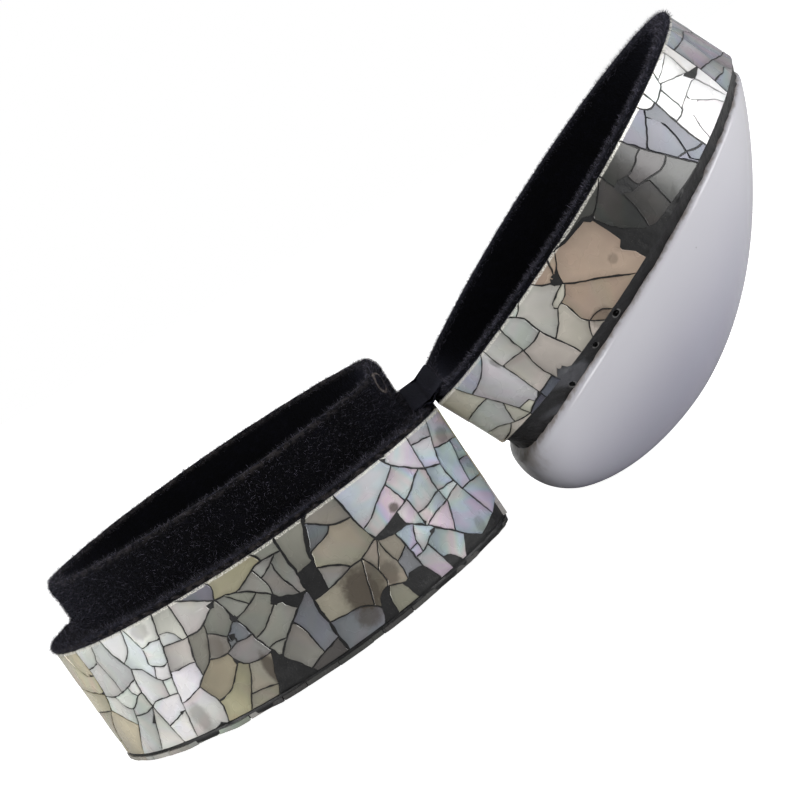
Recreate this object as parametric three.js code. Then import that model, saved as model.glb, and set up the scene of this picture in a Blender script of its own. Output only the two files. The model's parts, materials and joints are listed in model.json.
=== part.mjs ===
// A hinged shell box, open: an oval box cut flat at its hinge, with a raised velvet collar, and a lid with
// a polished white shell dome. Millimetres, +Z up. The box stands as it does on a table with its lid
// thrown back: on the front edge of its underside and on the dome.
import * as THREE from "three";

// Plan of base and lid: one superellipse, long axis on X, cut flat on the hinge side.
const planReach = 38; // from the oval's centre to the free tip
const planHalfWidth = 30;
const planFullness = 1.85; // exponent of the oval, 2 is an ellipse
const hingeHalfWidth = 15.34; // of the flat end that the hinge lies on

// Base
const baseHeight = 20.1; // underside to the upper edge of the wall's shell plates
const shellThickness = 1; // crackled shell plates on the walls, shell sheet underneath
const glueLine = 0.2; // left between neighbours in a wall
const floorThickness = 2.2;
const ledgeTip = 5; // from the outer face to the collar, at the tip
const ledgeSides = 3.2;
const ledgeHinge = 3.8;
const collarRise = 9; // above the upper edge of the shell plates
const liningThickness = 1.6; // card and velvet of the collar and the cup below it
const crestBevel = 0.5;

// Shell plates round each wall, with black resin in the joints between them
const basePlates = 9; // round the oval, besides the one across the flat hinge end
const lidPlates = 8;
const plateJoint = 0.4;
const plateSlant = 0.18; // how far a joint leans, as a share of a plate's length
const slantTurn = 2.4; // radians from one joint's lean to the next, so that no two lean alike
const plateSteps = 7;

// Velvet over both rims, and the cloth fold that is the hinge
const rimVelvet = 0.8;
const closedGap = 0.3; // between the two rim velvets when the box is shut
const foldRadius = 0.6;
const foldEndInset = 1;

// Lid, measured up from the closing plane, which holds the hinge line
const lidTipShort = 1.5; // the lid ends this far short of the base's tip
const lidBandHeight = 11.3; // height of the shell plates
const lidDepth = 9.6; // closing plane to the velvet roof
const lidLiningThickness = 0.6;
const lidWall = 0.9; // resin behind the lid's mosaic
const seamTip = 1.4; // black seam between plates and dome, at the tip
const seamHinge = 4.4; // the same seam at the hinge, where the resin is thicker
const seamRise = 6; // exponent that keeps the seam low until near the hinge
const seamMargin = 1.2; // resin that follows the seam inside the dome's foot
const seamCentre = 15; // inset of the level middle of the resin under the dome
const openingAngle = 155.2; // degrees, lid thrown back

// Dome
const domeHeight = 22.5; // above the seam at the tip
const domeThickness = 2.5;
const domeInset = 0.8; // from the outer face of the lid, at the tip and the sides
const domeOverhang = 3.2; // past the flat hinge end
const domeTuck = 0.035; // share by which the dome's foot rolls under
const domePeakShift = 8.8; // the highest point lies this far from the centre, towards the hinge
const domeShoulder = 1.6; // exponent of height in the profile
const domePeakEase = 1.8; // exponent of the shift with height
const domeCorner = 9; // how tightly the dome's plan turns into its flat hinge side

// Facets
const arcSteps = 46;
const chordSteps = 6;
const domeSteps = 44;
const domeRings = 11;
const crownShare = 0.02; // the dome's last ring, as a share of its foot
const domeRingEase = 1.25; // gathers the dome's rings at its foot
const foldSides = 12;

// From the oval's centre to its flat hinge end, where the oval is as wide as the hinge end.
const hingeReach = planReach * (1 - (hingeHalfWidth / planHalfWidth) ** planFullness) ** (1 / planFullness);
const closingHeight = baseHeight + rimVelvet + closedGap / 2;
const rimOffset = rimVelvet + closedGap / 2; // closing plane to the plates' edge on either side

const shellMaterial = new THREE.MeshStandardMaterial({ color: 0xb9b9ad, roughness: 0.25, metalness: 0.1 });
const domeMaterial = new THREE.MeshStandardMaterial({ color: 0xdcdbe2, roughness: 0.3, metalness: 0 });
const resinMaterial = new THREE.MeshStandardMaterial({ color: 0x26282a, roughness: 0.35, metalness: 0 });
const velvetMaterial = new THREE.MeshStandardMaterial({ color: 0x0a0a10, roughness: 1, metalness: 0 });

// Half width of the oval at x, for insets at its tip and its sides.
function halfWidthAt(x, inset) {
  const along = Math.min(1, Math.abs(x) / (planReach - inset.tip));
  return (planHalfWidth - inset.sides) * (1 - along ** planFullness) ** (1 / planFullness);
}

// A point of the oval at height z, at a share of the way from one end of the flat round to the other.
function arcPoint(share, z, inset) {
  const cut = hingeReach - inset.hinge;
  const reach = planReach - inset.tip;
  const startAngle = Math.acos((cut / reach) ** (planFullness / 2));
  const angle = startAngle + share * 2 * (Math.PI - startAngle);
  const cos = Math.cos(angle);
  const onCut = share === 0 || share === 1;
  const x = onCut ? cut : reach * Math.sign(cos) * Math.abs(cos) ** (2 / planFullness);
  return new THREE.Vector3(x, Math.sign(Math.PI - angle) * halfWidthAt(x, inset), z);
}

// One turn round the plan at height z: from the hinge end round the tip and back, then along the flat.
function planRing(z, inset) {
  const points = [];
  for (let i = 0; i <= arcSteps; i += 1) {
    points.push(arcPoint(i / arcSteps, z, inset));
  }
  const from = points[arcSteps];
  const to = points[0];
  for (let i = 1; i < chordSteps; i += 1) {
    points.push(new THREE.Vector3().lerpVectors(from, to, i / chordSteps));
  }
  return points;
}

// A closed body through a list of rings with equally many points. Hollow rings join last to first;
// a cup closes with a flat fan at each end of its list.
function bodyThrough(rings, closedLoop) {
  const steps = rings[0].length;
  const points = rings.flat();
  const index = [];
  const last = closedLoop ? rings.length : rings.length - 1;
  for (let k = 0; k < last; k += 1) {
    const low = k * steps;
    const high = ((k + 1) % rings.length) * steps;
    for (let j = 0; j < steps; j += 1) {
      const next = (j + 1) % steps;
      index.push(low + j, low + next, high + next, low + j, high + next, high + j);
    }
  }
  if (!closedLoop) {
    const centreOf = (ring) => ring.reduce((sum, p) => sum.add(p), new THREE.Vector3()).divideScalar(steps);
    const start = points.push(centreOf(rings[0])) - 1;
    const end = points.push(centreOf(rings[rings.length - 1])) - 1;
    const top = (rings.length - 1) * steps;
    for (let j = 0; j < steps; j += 1) {
      const next = (j + 1) % steps;
      index.push(start, next, j, end, top + j, top + next);
    }
  }
  const geometry = new THREE.BufferGeometry().setFromPoints(points);
  geometry.setIndex(index);
  return geometry;
}

const evenInset = (inset) => ({ tip: inset, sides: inset, hinge: inset });
const lidInset = (inset) => ({ tip: lidTipShort + inset, sides: inset, hinge: inset });
const ledgeInset = (more) => ({ tip: ledgeTip + more, sides: ledgeSides + more, hinge: ledgeHinge + more });

// A wall piece between two insets and two heights.
function wallBand(outer, inner, low, high) {
  return bodyThrough(
    [planRing(low, outer), planRing(high, outer), planRing(high, inner), planRing(low, inner)],
    true,
  );
}

function named(name, geometry, material) {
  const mesh = new THREE.Mesh(geometry, material);
  mesh.name = name;
  return mesh;
}

// One shell plate of a wall between two shares of the oval, its ends leaning by their own slants.
function shellPlate(from, to, slants, insetFor, low, high) {
  const columns = [];
  for (let k = 0; k <= plateSteps; k += 1) {
    const along = k / plateSteps;
    const slant = THREE.MathUtils.lerp(slants[0], slants[1], along) / 2;
    const share = THREE.MathUtils.lerp(from, to, along);
    columns.push([
      arcPoint(share - slant, low, insetFor(0)),
      arcPoint(share - slant, low, insetFor(shellThickness)),
      arcPoint(share + slant, high, insetFor(shellThickness)),
      arcPoint(share + slant, high, insetFor(0)),
    ]);
  }
  return bodyThrough(columns, false);
}

// The plates of one wall: a row round the oval, and one across the flat hinge end.
function shellWall(name, count, insetFor, low, high) {
  const wall = new THREE.Group();
  const ovalLength = arcLength(insetFor(0));
  const joint = plateJoint / ovalLength;
  const slantOf = (i) => (i % count === 0 ? 0 : (plateSlant / count) * Math.sin(slantTurn * i + count));
  for (let i = 0; i < count; i += 1) {
    const from = i / count + joint / 2;
    const to = (i + 1) / count - joint / 2;
    const slants = [slantOf(i), slantOf(i + 1)];
    wall.add(named(`${name}_${i + 1}`, shellPlate(from, to, slants, insetFor, low, high), shellMaterial));
  }
  const corner = arcPoint(0, 0, insetFor(0));
  const width = 2 * (corner.y - plateJoint);
  const across = new THREE.BoxGeometry(shellThickness, width, high - low);
  across.translate(corner.x - shellThickness / 2, 0, (low + high) / 2);
  wall.add(named(`${name}_hinge`, across, shellMaterial));
  return wall;
}

function arcLength(inset) {
  let length = 0;
  for (let i = 0; i < arcSteps; i += 1) {
    length += arcPoint(i / arcSteps, 0, inset).distanceTo(arcPoint((i + 1) / arcSteps, 0, inset));
  }
  return length;
}

const resinInset = shellThickness + glueLine;
const foldSide = foldRadius + 2 * glueLine; // the rim velvets stop this far from the hinge line

// The base, in the box's own frame: underside at z = 0, the plan's centre on the Z axis.
function makeBase() {
  const base = new THREE.Group();
  const bodyBottom = shellThickness + glueLine;
  const cavityFloor = bodyBottom + floorThickness;
  const outer = evenInset(resinInset);

  base.add(named("base_resin_body", bodyThrough([
    planRing(bodyBottom, outer),
    planRing(baseHeight, outer),
    planRing(baseHeight, ledgeInset(0)),
    planRing(cavityFloor, ledgeInset(0)),
  ], false), resinMaterial));
  base.add(shellWall("base_shell_plate", basePlates, evenInset, bodyBottom, baseHeight));
  base.add(named("underside_shell", bodyThrough([
    planRing(0, evenInset(0)),
    planRing(shellThickness, evenInset(0)),
  ], false), shellMaterial));

  const liningBottom = cavityFloor + glueLine;
  const crest = baseHeight + collarRise;
  base.add(named("base_velvet_lining", bodyThrough([
    planRing(liningBottom, ledgeInset(glueLine)),
    planRing(crest - crestBevel, ledgeInset(glueLine)),
    planRing(crest, ledgeInset(glueLine + crestBevel)),
    planRing(crest, ledgeInset(glueLine + liningThickness - crestBevel)),
    planRing(crest - crestBevel, ledgeInset(glueLine + liningThickness)),
    planRing(liningBottom + liningThickness, ledgeInset(glueLine + liningThickness)),
  ], false), velvetMaterial));

  const rimOuter = { ...evenInset(glueLine / 2), hinge: foldSide };
  base.add(named("base_rim_velvet", wallBand(
    rimOuter, ledgeInset(0), baseHeight + glueLine / 2, baseHeight + rimVelvet), velvetMaterial));

  const foldLength = 2 * (halfWidthAt(hingeReach, evenInset(0)) - foldEndInset);
  const fold = named("velvet_hinge",
    new THREE.CylinderGeometry(foldRadius, foldRadius, foldLength, foldSides), velvetMaterial);
  fold.position.set(hingeReach, 0, closingHeight);
  base.add(fold);
  return base;
}

// Upper face of the lid's resin, under the dome: level, and rising close to the hinge.
const bandTop = rimOffset + lidBandHeight;
function seamTop(x) {
  const along = Math.min(1, Math.max(0, (x + planReach) / (hingeReach + planReach)));
  return bandTop + seamTip + (seamHinge - seamTip) * along ** seamRise;
}

// Reach of the dome's foot from the plan's centre at an angle, over a hinge side with soft corners.
function domeReach(angle, inset) {
  const cos = Math.cos(angle);
  const sin = Math.sin(angle);
  const oval = (Math.abs(cos / (planReach - lidTipShort - domeInset - inset)) ** planFullness
    + Math.abs(sin / (planHalfWidth - domeInset - inset)) ** planFullness) ** (1 / planFullness);
  const flat = Math.max(0, cos / (hingeReach + domeOverhang - inset));
  return (oval ** domeCorner + flat ** domeCorner) ** (-1 / domeCorner);
}

// One turn of the dome at a share of its height. Rings shrink as a rounded profile and drift to the peak.
function domeRing(share, inset, tuck) {
  const scale = Math.max(crownShare, Math.sqrt(1 - share ** domeShoulder)) * (1 - tuck);
  const drift = domePeakShift * (1 - (1 - share) ** domePeakEase);
  const peak = bandTop + seamTip + glueLine + domeHeight - inset;
  const points = [];
  for (let i = 0; i < domeSteps; i += 1) {
    const angle = (i / domeSteps) * 2 * Math.PI;
    const reach = scale * domeReach(angle, inset);
    const x = drift + reach * Math.cos(angle);
    const foot = seamTop(x) + glueLine;
    points.push(new THREE.Vector3(x, reach * Math.sin(angle), foot + (peak - foot) * share));
  }
  return points;
}

// The lid, drawn shut over the plan with its closing plane at z = 0, then swung open on the hinge line.
function makeLid() {
  const lid = new THREE.Group();
  const innerInset = resinInset + lidWall;
  const roof = lidDepth + lidLiningThickness + glueLine;

  const wall = lidInset(resinInset);
  const seamRing = (inset) => planRing(0, inset).map((p) => new THREE.Vector3(p.x, p.y, seamTop(p.x)));
  lid.add(named("lid_resin_body", bodyThrough([
    planRing(roof, lidInset(innerInset)),
    planRing(rimOffset, lidInset(innerInset)),
    planRing(rimOffset, wall),
    planRing(bandTop + glueLine, wall),
    planRing(bandTop + glueLine, lidInset(glueLine)),
    seamRing(lidInset(domeInset)),
    seamRing(lidInset(domeInset + domeThickness + seamMargin)),
    seamRing(lidInset(seamCentre)),
  ], false), resinMaterial));
  lid.add(shellWall("lid_shell_plate", lidPlates, lidInset, rimOffset, bandTop));

  const clothOuter = lidInset(innerInset + glueLine);
  const clothInner = lidInset(innerInset + glueLine + lidLiningThickness);
  lid.add(named("lid_velvet_lining", bodyThrough([
    planRing(lidDepth, clothInner),
    planRing(rimOffset, clothInner),
    planRing(rimOffset, clothOuter),
    planRing(lidDepth + lidLiningThickness, clothOuter),
  ], false), velvetMaterial));
  const rimOuter = { ...lidInset(glueLine / 2), hinge: foldSide };
  lid.add(named("lid_rim_velvet", wallBand(
    rimOuter, clothInner, closedGap / 2, rimOffset - glueLine / 2), velvetMaterial));

  const outerRings = [];
  const innerRings = [];
  for (let k = 0; k < domeRings; k += 1) {
    const share = Math.sin((k / (domeRings - 1)) * (Math.PI / 2)) ** domeRingEase;
    outerRings.push(domeRing(share, 0, k === 0 ? domeTuck : 0));
    innerRings.unshift(domeRing(share, domeThickness, k === 0 ? domeTuck : 0));
  }
  lid.add(named("shell_dome", bodyThrough([...innerRings, ...outerRings], false), domeMaterial));

  lid.position.x = -hingeReach;
  const swing = new THREE.Group();
  swing.add(lid);
  swing.position.set(hingeReach, 0, closingHeight);
  swing.rotation.y = THREE.MathUtils.degToRad(openingAngle);
  return swing;
}

const box = new THREE.Group();
box.add(makeBase(), makeLid());
box.updateMatrixWorld(true);

// Lean about the tip's lower edge until the lowest side of the dome meets the table.
const dome = box.getObjectByName("shell_dome");
const domePoints = dome.geometry.getAttribute("position");
const point = new THREE.Vector3();
let lean = 0;
for (let i = 0; i < domePoints.count; i += 1) {
  point.fromBufferAttribute(domePoints, i).applyMatrix4(dome.matrixWorld);
  lean = Math.max(lean, Math.atan2(-point.z, point.x + planReach));
}
box.rotation.y = -lean;

// Stand the open box with the middle of its footprint at the origin.
const standing = new THREE.Group();
standing.add(box);
const bounds = new THREE.Box3().setFromObject(standing, true);
box.position.set(-(bounds.min.x + bounds.max.x) / 2, 0, -bounds.min.z);

export default standing;
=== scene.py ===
import json
import math

import bpy
import numpy as np
from mathutils import Matrix, Vector


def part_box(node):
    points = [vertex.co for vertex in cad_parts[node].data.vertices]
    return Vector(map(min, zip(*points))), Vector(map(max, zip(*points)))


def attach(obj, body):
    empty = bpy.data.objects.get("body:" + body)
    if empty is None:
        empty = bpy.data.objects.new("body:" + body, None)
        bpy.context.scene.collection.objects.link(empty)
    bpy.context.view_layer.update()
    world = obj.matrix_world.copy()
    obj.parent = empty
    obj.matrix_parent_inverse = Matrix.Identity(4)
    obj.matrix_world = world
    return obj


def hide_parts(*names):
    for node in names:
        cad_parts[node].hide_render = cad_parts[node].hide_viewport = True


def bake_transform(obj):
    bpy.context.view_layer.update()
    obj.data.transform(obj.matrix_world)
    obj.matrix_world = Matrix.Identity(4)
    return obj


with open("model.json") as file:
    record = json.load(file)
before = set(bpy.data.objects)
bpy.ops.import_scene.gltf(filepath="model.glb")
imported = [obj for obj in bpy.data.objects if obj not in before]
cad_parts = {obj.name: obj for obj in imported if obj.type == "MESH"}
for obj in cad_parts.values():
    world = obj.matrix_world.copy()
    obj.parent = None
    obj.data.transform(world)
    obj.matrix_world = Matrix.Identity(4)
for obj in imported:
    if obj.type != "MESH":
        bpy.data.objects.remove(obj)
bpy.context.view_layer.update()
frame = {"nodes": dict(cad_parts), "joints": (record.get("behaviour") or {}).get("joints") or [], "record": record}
print("frame loaded")

# The box's own frame, in millimetres: underside at z = 0, plan centre at x = y = 0, hinge towards +x.
record = frame["record"]
underside = next(m for m in record["mounts"] if m["name"] == "underside")
hinge = frame["joints"][0]
lean = math.atan2(underside["axis"][0], -underside["axis"][2])
origin = np.array(underside["pos_m"])
opening = math.radians(-hinge["range_deg"][0])
toHinge = 1000 * (np.array(hinge["pos_m"]) - origin)
hingeReach = toHinge[0] * math.cos(lean) + toHinge[2] * math.sin(lean)
closingHeight = toHinge[2] * math.cos(lean) - toHinge[0] * math.sin(lean)
undersideLow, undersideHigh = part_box("underside_shell")

plan = {
    "reach": 1000 * (origin[0] - undersideLow.x) / math.cos(lean),
    "halfWidth": 1000 * undersideHigh.y,
    "fullness": 1.85,  # exponent of the oval
    "lidTipShort": 1.5,
    "wallCorner": 34,  # how tightly the oval turns into the flat hinge end
}
wall = {
    "low": 1.2, "top": 20.1, "lidLow": 0.95, "lidTop": 12.25,  # edges of the shell plates
    "endGap": 0.25, "flatInset": 0.5, "glue": (0.55, 0.38),  # pale glue line: where it starts and is full
}


def boxToRow(p):  # turned by the lean, then moved to where the underside's centre is, in metres
    x, y, z = p[..., 0], p[..., 1], p[..., 2]
    turned = [x * math.cos(lean) - z * math.sin(lean), y, x * math.sin(lean) + z * math.cos(lean)]
    return np.stack(turned, -1) / 1000 + origin


def lidToRow(p):  # drawn shut with the closing plane at z = 0, swung open about the hinge line
    x, y, z = p[..., 0] - hingeReach, p[..., 1], p[..., 2]
    cos, sin = math.cos(opening), math.sin(opening)
    return boxToRow(np.stack([hingeReach + x * cos + z * sin, y, closingHeight - x * sin + z * cos], -1))


# Camera, as fitted to the photograph in the box's own frame
camera = {
    "azimuth": -0.0055, "elevation": 0.1358, "roll": -0.5901,
    "target": (28.72, -0.32, 21.97), "distance": 233.59,
    "focalPixels": 1505.78, "centreOffset": (5.87, -3.2), "frameSide": 800, "sensor": 36,
}


def makeCamera(c):
    back = np.array([
        math.sin(c["azimuth"]) * math.cos(c["elevation"]),
        -math.cos(c["azimuth"]) * math.cos(c["elevation"]),
        math.sin(c["elevation"]),
    ])
    right = np.cross(-back, (0, 0, 1))
    right /= np.linalg.norm(right)
    up = np.cross(right, -back)
    cos, sin = math.cos(c["roll"]), math.sin(c["roll"])
    axes = np.array([right * cos + up * sin, up * cos - right * sin, back])
    place = boxToRow(np.array(c["target"]) + back * c["distance"])
    turned = 1000 * (boxToRow(axes) - origin)
    data = bpy.data.cameras.new("camera")
    data.sensor_width = c["sensor"]
    data.lens = c["focalPixels"] * c["sensor"] / c["frameSide"]
    data.shift_x = -c["centreOffset"][0] / c["frameSide"]
    data.shift_y = c["centreOffset"][1] / c["frameSide"]
    data.clip_start = 0.01
    made = bpy.data.objects.new("camera", data)
    bpy.context.scene.collection.objects.link(made)
    matrix = Matrix.Identity(4)
    for k in range(3):
        for r in range(3):
            matrix[r][k] = turned[k][r]
        matrix[k][3] = place[k]
    made.matrix_world = matrix
    bpy.context.scene.camera = made


makeCamera(camera)


# Shader sockets as Python values: operators add Math nodes, and node() adds any other node.
class Socket:
    def __init__(self, shader, socket):
        self.shader = shader
        self.socket = socket

    def math(self, operation, first, second):
        return self.shader.node("ShaderNodeMath", {"operation": operation}, {0: first, 1: second})

    def __add__(self, other):
        return self.math("ADD", self, other)

    def __radd__(self, other):
        return self.math("ADD", other, self)

    def __sub__(self, other):
        return self.math("SUBTRACT", self, other)

    def __rsub__(self, other):
        return self.math("SUBTRACT", other, self)

    def __mul__(self, other):
        return self.math("MULTIPLY", self, other)

    def __rmul__(self, other):
        return self.math("MULTIPLY", other, self)

    def most(self, other):
        return self.math("MAXIMUM", self, other)

    def between(self, low, high):  # smooth from 0 at low to 1 at high
        settings = {"interpolation_type": "SMOOTHSTEP"}
        return self.shader.node("ShaderNodeMapRange", settings, {0: self, 1: low, 2: high})


class Shader:
    def __init__(self, name, **fixed):
        self.material = bpy.data.materials.new(name)
        self.material.use_nodes = True
        self.tree = self.material.node_tree
        self.surface = self.tree.nodes["Principled BSDF"]
        for key, value in fixed.items():
            self.surface.inputs[key.replace("_", " ")].default_value = value

    def node(self, kind, settings=None, inputs=None, output=0):
        made = self.tree.nodes.new(kind)
        for key, value in (settings or {}).items():
            if key == "stops":
                self.setStops(made.color_ramp, value)
            else:
                setattr(made, key, value)
        for key, value in (inputs or {}).items():
            self.feed(made.inputs[key], value)
        return Socket(self, made.outputs[output])

    def setStops(self, ramp, stops):
        while len(ramp.elements) < len(stops):
            ramp.elements.new(1)
        for element, (place, colour) in zip(ramp.elements, stops):
            element.position = place
            element.color = (*colour, 1)

    def feed(self, socket, value):
        if isinstance(value, Socket):
            self.tree.links.new(value.socket, socket)
        else:
            socket.default_value = value

    def give(self, **inputs):
        for key, value in inputs.items():
            self.feed(self.surface.inputs[key.replace("_", " ")], value)

    def mix(self, share, first, second, blend="MIX"):
        settings = {"data_type": "RGBA", "blend_type": blend}
        return self.node("ShaderNodeMix", settings, {0: share, 6: first, 7: second}, 2)

    def noise(self, coordinates, scale, detail=3, roughness=0.5):
        inputs = {"Vector": coordinates, "Scale": scale, "Detail": detail, "Roughness": roughness}
        return self.node("ShaderNodeTexNoise", None, inputs, "Fac")

    def bump(self, height, distance, strength):
        return self.node("ShaderNodeBump", None, {"Height": height, "Distance": distance, "Strength": strength})

    def object(self):
        return self.node("ShaderNodeTexCoord", None, None, "Object")

    def stretched(self, coordinates, scale):
        settings = {"operation": "MULTIPLY"}
        return self.node("ShaderNodeVectorMath", settings, {0: coordinates, 1: scale})

    # Distance from a place, in units of an ellipse's half sizes
    def away(self, coordinates, place, sizes):
        shifted = self.node("ShaderNodeVectorMath", {"operation": "SUBTRACT"}, {0: coordinates, 1: place})
        scaled = self.stretched(shifted, tuple(1 / s for s in sizes))
        return self.node("ShaderNodeVectorMath", {"operation": "LENGTH"}, {0: scaled}, "Value")


def colour(red, green, blue):  # from screen values, 0 to 255, to linear light
    return tuple((c / 255) ** 2.2 for c in (red, green, blue))


def opaque(rgb):
    return (*rgb, 1)


# Shell mosaic: each shard's tint and pearl come with the mesh, the eyes are growth marks in the shell
shell = {
    "roughness": 0.27, "metallic": 0.12, "coat": 0.4,
    "streak": 0.05, "cloud": 0.3, "rainbow": 0.6, "rainbowTurns": 3, "eyeDepth": 0.9,
    "eyeColour": colour(66, 56, 44), "edgeColour": colour(246, 243, 232),
    "rainbowColours": [
        (0.0, colour(244, 202, 222)), (0.22, colour(244, 232, 214)), (0.42, colour(192, 238, 216)),
        (0.6, colour(184, 222, 240)), (0.8, colour(224, 200, 240)), (1.0, colour(244, 218, 214)),
    ],
    # along the wall from the tip, up the wall, half sizes, depth
    "baseEyes": [
        (31.3, 18.8, 1.3, 1.2, 0.4), (31.4, 3.7, 1.2, 2, 0.45), (40.1, 11.5, 1.3, 1.4, 0.5), (61.8, 6.8, 2.4, 3.2, 1),
        (60.6, 3.6, 1.6, 1.5, 0.8), (63.6, 7.4, 1.6, 2.4, 0.8), (66.2, 6.6, 1.3, 1.5, 0.7), (72.2, 13.4, 0.7, 0.6, 0.9),
        (86.1, 16.8, 1.1, 1, 0.5), (82.6, 3.2, 0.8, 1.1, 0.4), (45.2, 5, 0.8, 2.2, 0.9), (-36, 8, 2.2, 1.6, 0.7),
        (-61, 14.5, 1.6, 2.2, 0.6),
    ],
    "lidEyes": [
        (61, 11.6, 1.4, 1, 0.6), (53.3, 8.4, 0.6, 0.6, 0.4), (75.3, 3.4, 0.4, 0.8, 0.5), (-44, 6, 1.8, 1.5, 0.6),
    ],
}


def shellShader(name, s, eyes, paleEdge):
    m = Shader(name, IOR=1.55, Coat_Roughness=0.12, Coat_Weight=s["coat"])
    tint = m.node("ShaderNodeVertexColor", {"layer_name": "tint"})
    pearl = m.node("ShaderNodeAttribute", {"attribute_name": "pearl"}, None, "Fac")
    grain = m.node("ShaderNodeUVMap", {"uv_map": "grain"})
    place = m.node("ShaderNodeUVMap", {"uv_map": "wall"})
    streaks = m.noise(m.stretched(grain, (0.28, 2.6, 1)), 1.0, 5, 0.62)
    clouds = m.noise(grain, 0.23, 2)
    bend = m.noise(m.stretched(grain, (0.5, 1.2, 1)), 0.16, 2)
    turns = bend * s["rainbowTurns"]
    rainbow = m.node("ShaderNodeValToRGB", {"stops": s["rainbowColours"]}, {0: turns.math("FRACT", turns, 0)})
    shade = 1 + (streaks - 0.5) * s["streak"] + (clouds - 0.5) * s["cloud"]
    lit = m.mix(1.0, tint, m.node("ShaderNodeCombineXYZ", None, {0: shade, 1: shade, 2: shade}), "MULTIPLY")
    pearled = m.mix(pearl * s["rainbow"], lit, m.mix(1.0, lit, rainbow, "MULTIPLY"))
    ragged = (m.noise(place, 1.3, 3) - 0.5) * 0.7
    growth = None
    for along, up, halfLength, halfHeight, depth in eyes:
        reach = m.away(place, (along, up, 0), (halfLength, halfHeight, 1)) + ragged
        mask = (1 - reach.between(0.75, 1.55)) * depth
        growth = mask if growth is None else growth.most(mask)
    if growth is not None:
        pearled = m.mix(growth * s["eyeDepth"], pearled, opaque(s["eyeColour"]))
    if paleEdge:
        up = m.node("ShaderNodeSeparateXYZ", None, {0: place}, "Y")
        broken = m.noise(place, 4.5, 3).between(0.42, 0.6)
        low, high = paleEdge
        edge = up.between(low, high) * (0.25 + broken * 0.75)
        pearled = m.mix(edge, pearled, opaque(s["edgeColour"]))
    gloss = s["roughness"] + (clouds - 0.5) * 0.16
    m.give(Base_Color=pearled, Roughness=gloss, Metallic=pearl * 0.35 + s["metallic"],
           Normal=m.bump(clouds, 0.00004, 0.3))
    return m.material


resin = {
    "colour": colour(15, 15, 17), "dust": colour(96, 94, 90), "smear": colour(98, 99, 104),
    # rim is a painted highlight round each bubble's lip, hole is painted shade in its pit
    "rim": colour(176, 176, 174), "hole": colour(6, 6, 7), "roughness": 0.44,
}


def resinShader(name, r, smears=(), bubbles=()):
    m = Shader(name, IOR=1.5)
    here = m.object()
    specks = m.noise(here, 5200, 2, 0.6).between(0.64, 0.74)
    patches = m.noise(here, 420, 3)
    tone = m.mix(specks * 0.5, opaque(r["colour"]), opaque(r["dust"]))
    tone = m.mix(patches.between(0.45, 0.8) * 0.3, tone, opaque(colour(50, 50, 50)))
    for spot, size in smears:
        mask = 1 - (m.away(here, tuple(spot), size) + (patches - 0.5)).between(0.6, 1.15)
        tone = m.mix(mask * 0.6, tone, opaque(r["smear"]))
    # Painted light on each bubble: a pale ring on its lip is a painted highlight, the darker middle is painted shade in
    # the pit
    for spot, size in bubbles:
        reach = m.away(here, tuple(spot), (size, size, size))
        tone = m.mix(reach.between(0.95, 1.08) * (1 - reach.between(1.2, 1.5)) * 0.35, tone, opaque(r["rim"]))
        tone = m.mix(1 - reach.between(0.9, 1.05), tone, opaque(r["hole"]))
    height = m.noise(here, 2600, 4, 0.65)
    m.give(Base_Color=tone, Roughness=r["roughness"] + (patches - 0.5) * 0.35, Normal=m.bump(height, 0.00008, 0.7))
    return m.material


velvet = {
    "colour": colour(6, 6, 9), "lighter": colour(24, 24, 34), "tip": colour(176, 172, 196),
    # colour of the real wear marks, also used for the painted sheen along the crest
    "wearAndSheen": colour(142, 132, 126),
}


def velvetShader(name, v, marks=()):
    m = Shader(name, Roughness=0.95, Sheen_Weight=0.12, Sheen_Roughness=0.45, Specular_IOR_Level=0.12)
    m.surface.inputs["Sheen Tint"].default_value = (0.62, 0.64, 0.95, 1)
    here = m.object()
    nap = m.noise(m.stretched(here, (1, 1, 1.8)), 900, 4, 0.6)
    lay = m.noise(here, 140, 2)
    lighter = nap.between(0.45, 0.85) * 0.5 + lay.between(0.4, 0.8) * 0.2
    tone = m.mix(lighter, opaque(v["colour"]), opaque(v["lighter"]))
    for mask in marks:
        tone = m.mix(mask(m, here, nap), tone, opaque(v["wearAndSheen"]))
    m.give(Base_Color=tone, Normal=m.bump(m.noise(here, 2600, 3, 0.7), 0.0003, 0.8))
    return m.material


def pileShader(name, v):
    m = Shader(name, Roughness=0.7, Specular_IOR_Level=0.25)
    tip = m.node("ShaderNodeAttribute", {"attribute_name": "tip"}, None, "Fac")
    # Painted sheen: fibres pale lavender towards their tips
    m.give(Base_Color=m.mix(tip, opaque(v["colour"]), opaque(v["tip"])))
    return m.material


# Meshes
def signedVolume(points, triangles):
    a, b, c = (points[triangles[:, k]] for k in range(3))
    return float(np.einsum("ij,ij->i", a, np.cross(b, c)).sum() / 6)


def makePiece(name, points, faces, material, body, nodes, attributes=None, maps=None, sharp=None):
    mesh = bpy.data.meshes.new(name)
    mesh.from_pydata(points.tolist(), [], faces)
    mesh.update()
    corners = np.zeros(len(mesh.loops), np.int32)
    mesh.loops.foreach_get("vertex_index", corners)
    for key, values in (attributes or {}).items():
        kind = "FLOAT_COLOR" if values.ndim == 2 else "FLOAT"
        made = mesh.attributes.new(key, kind, "POINT")
        made.data.foreach_set("color" if values.ndim == 2 else "value", values.astype(np.float32).ravel())
    for key, values in (maps or {}).items():
        made = mesh.uv_layers.new(name=key)
        made.data.foreach_set("uv", values[corners].astype(np.float32).ravel())
    mesh.shade_smooth()
    if sharp:
        mesh.set_sharp_from_angle(angle=math.radians(sharp))
    mesh.materials.append(material)
    piece = bpy.data.objects.new(name, mesh)
    bpy.context.scene.collection.objects.link(piece)
    if body:
        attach(piece, body)
    if nodes:
        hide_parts(*nodes)
    return piece


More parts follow.
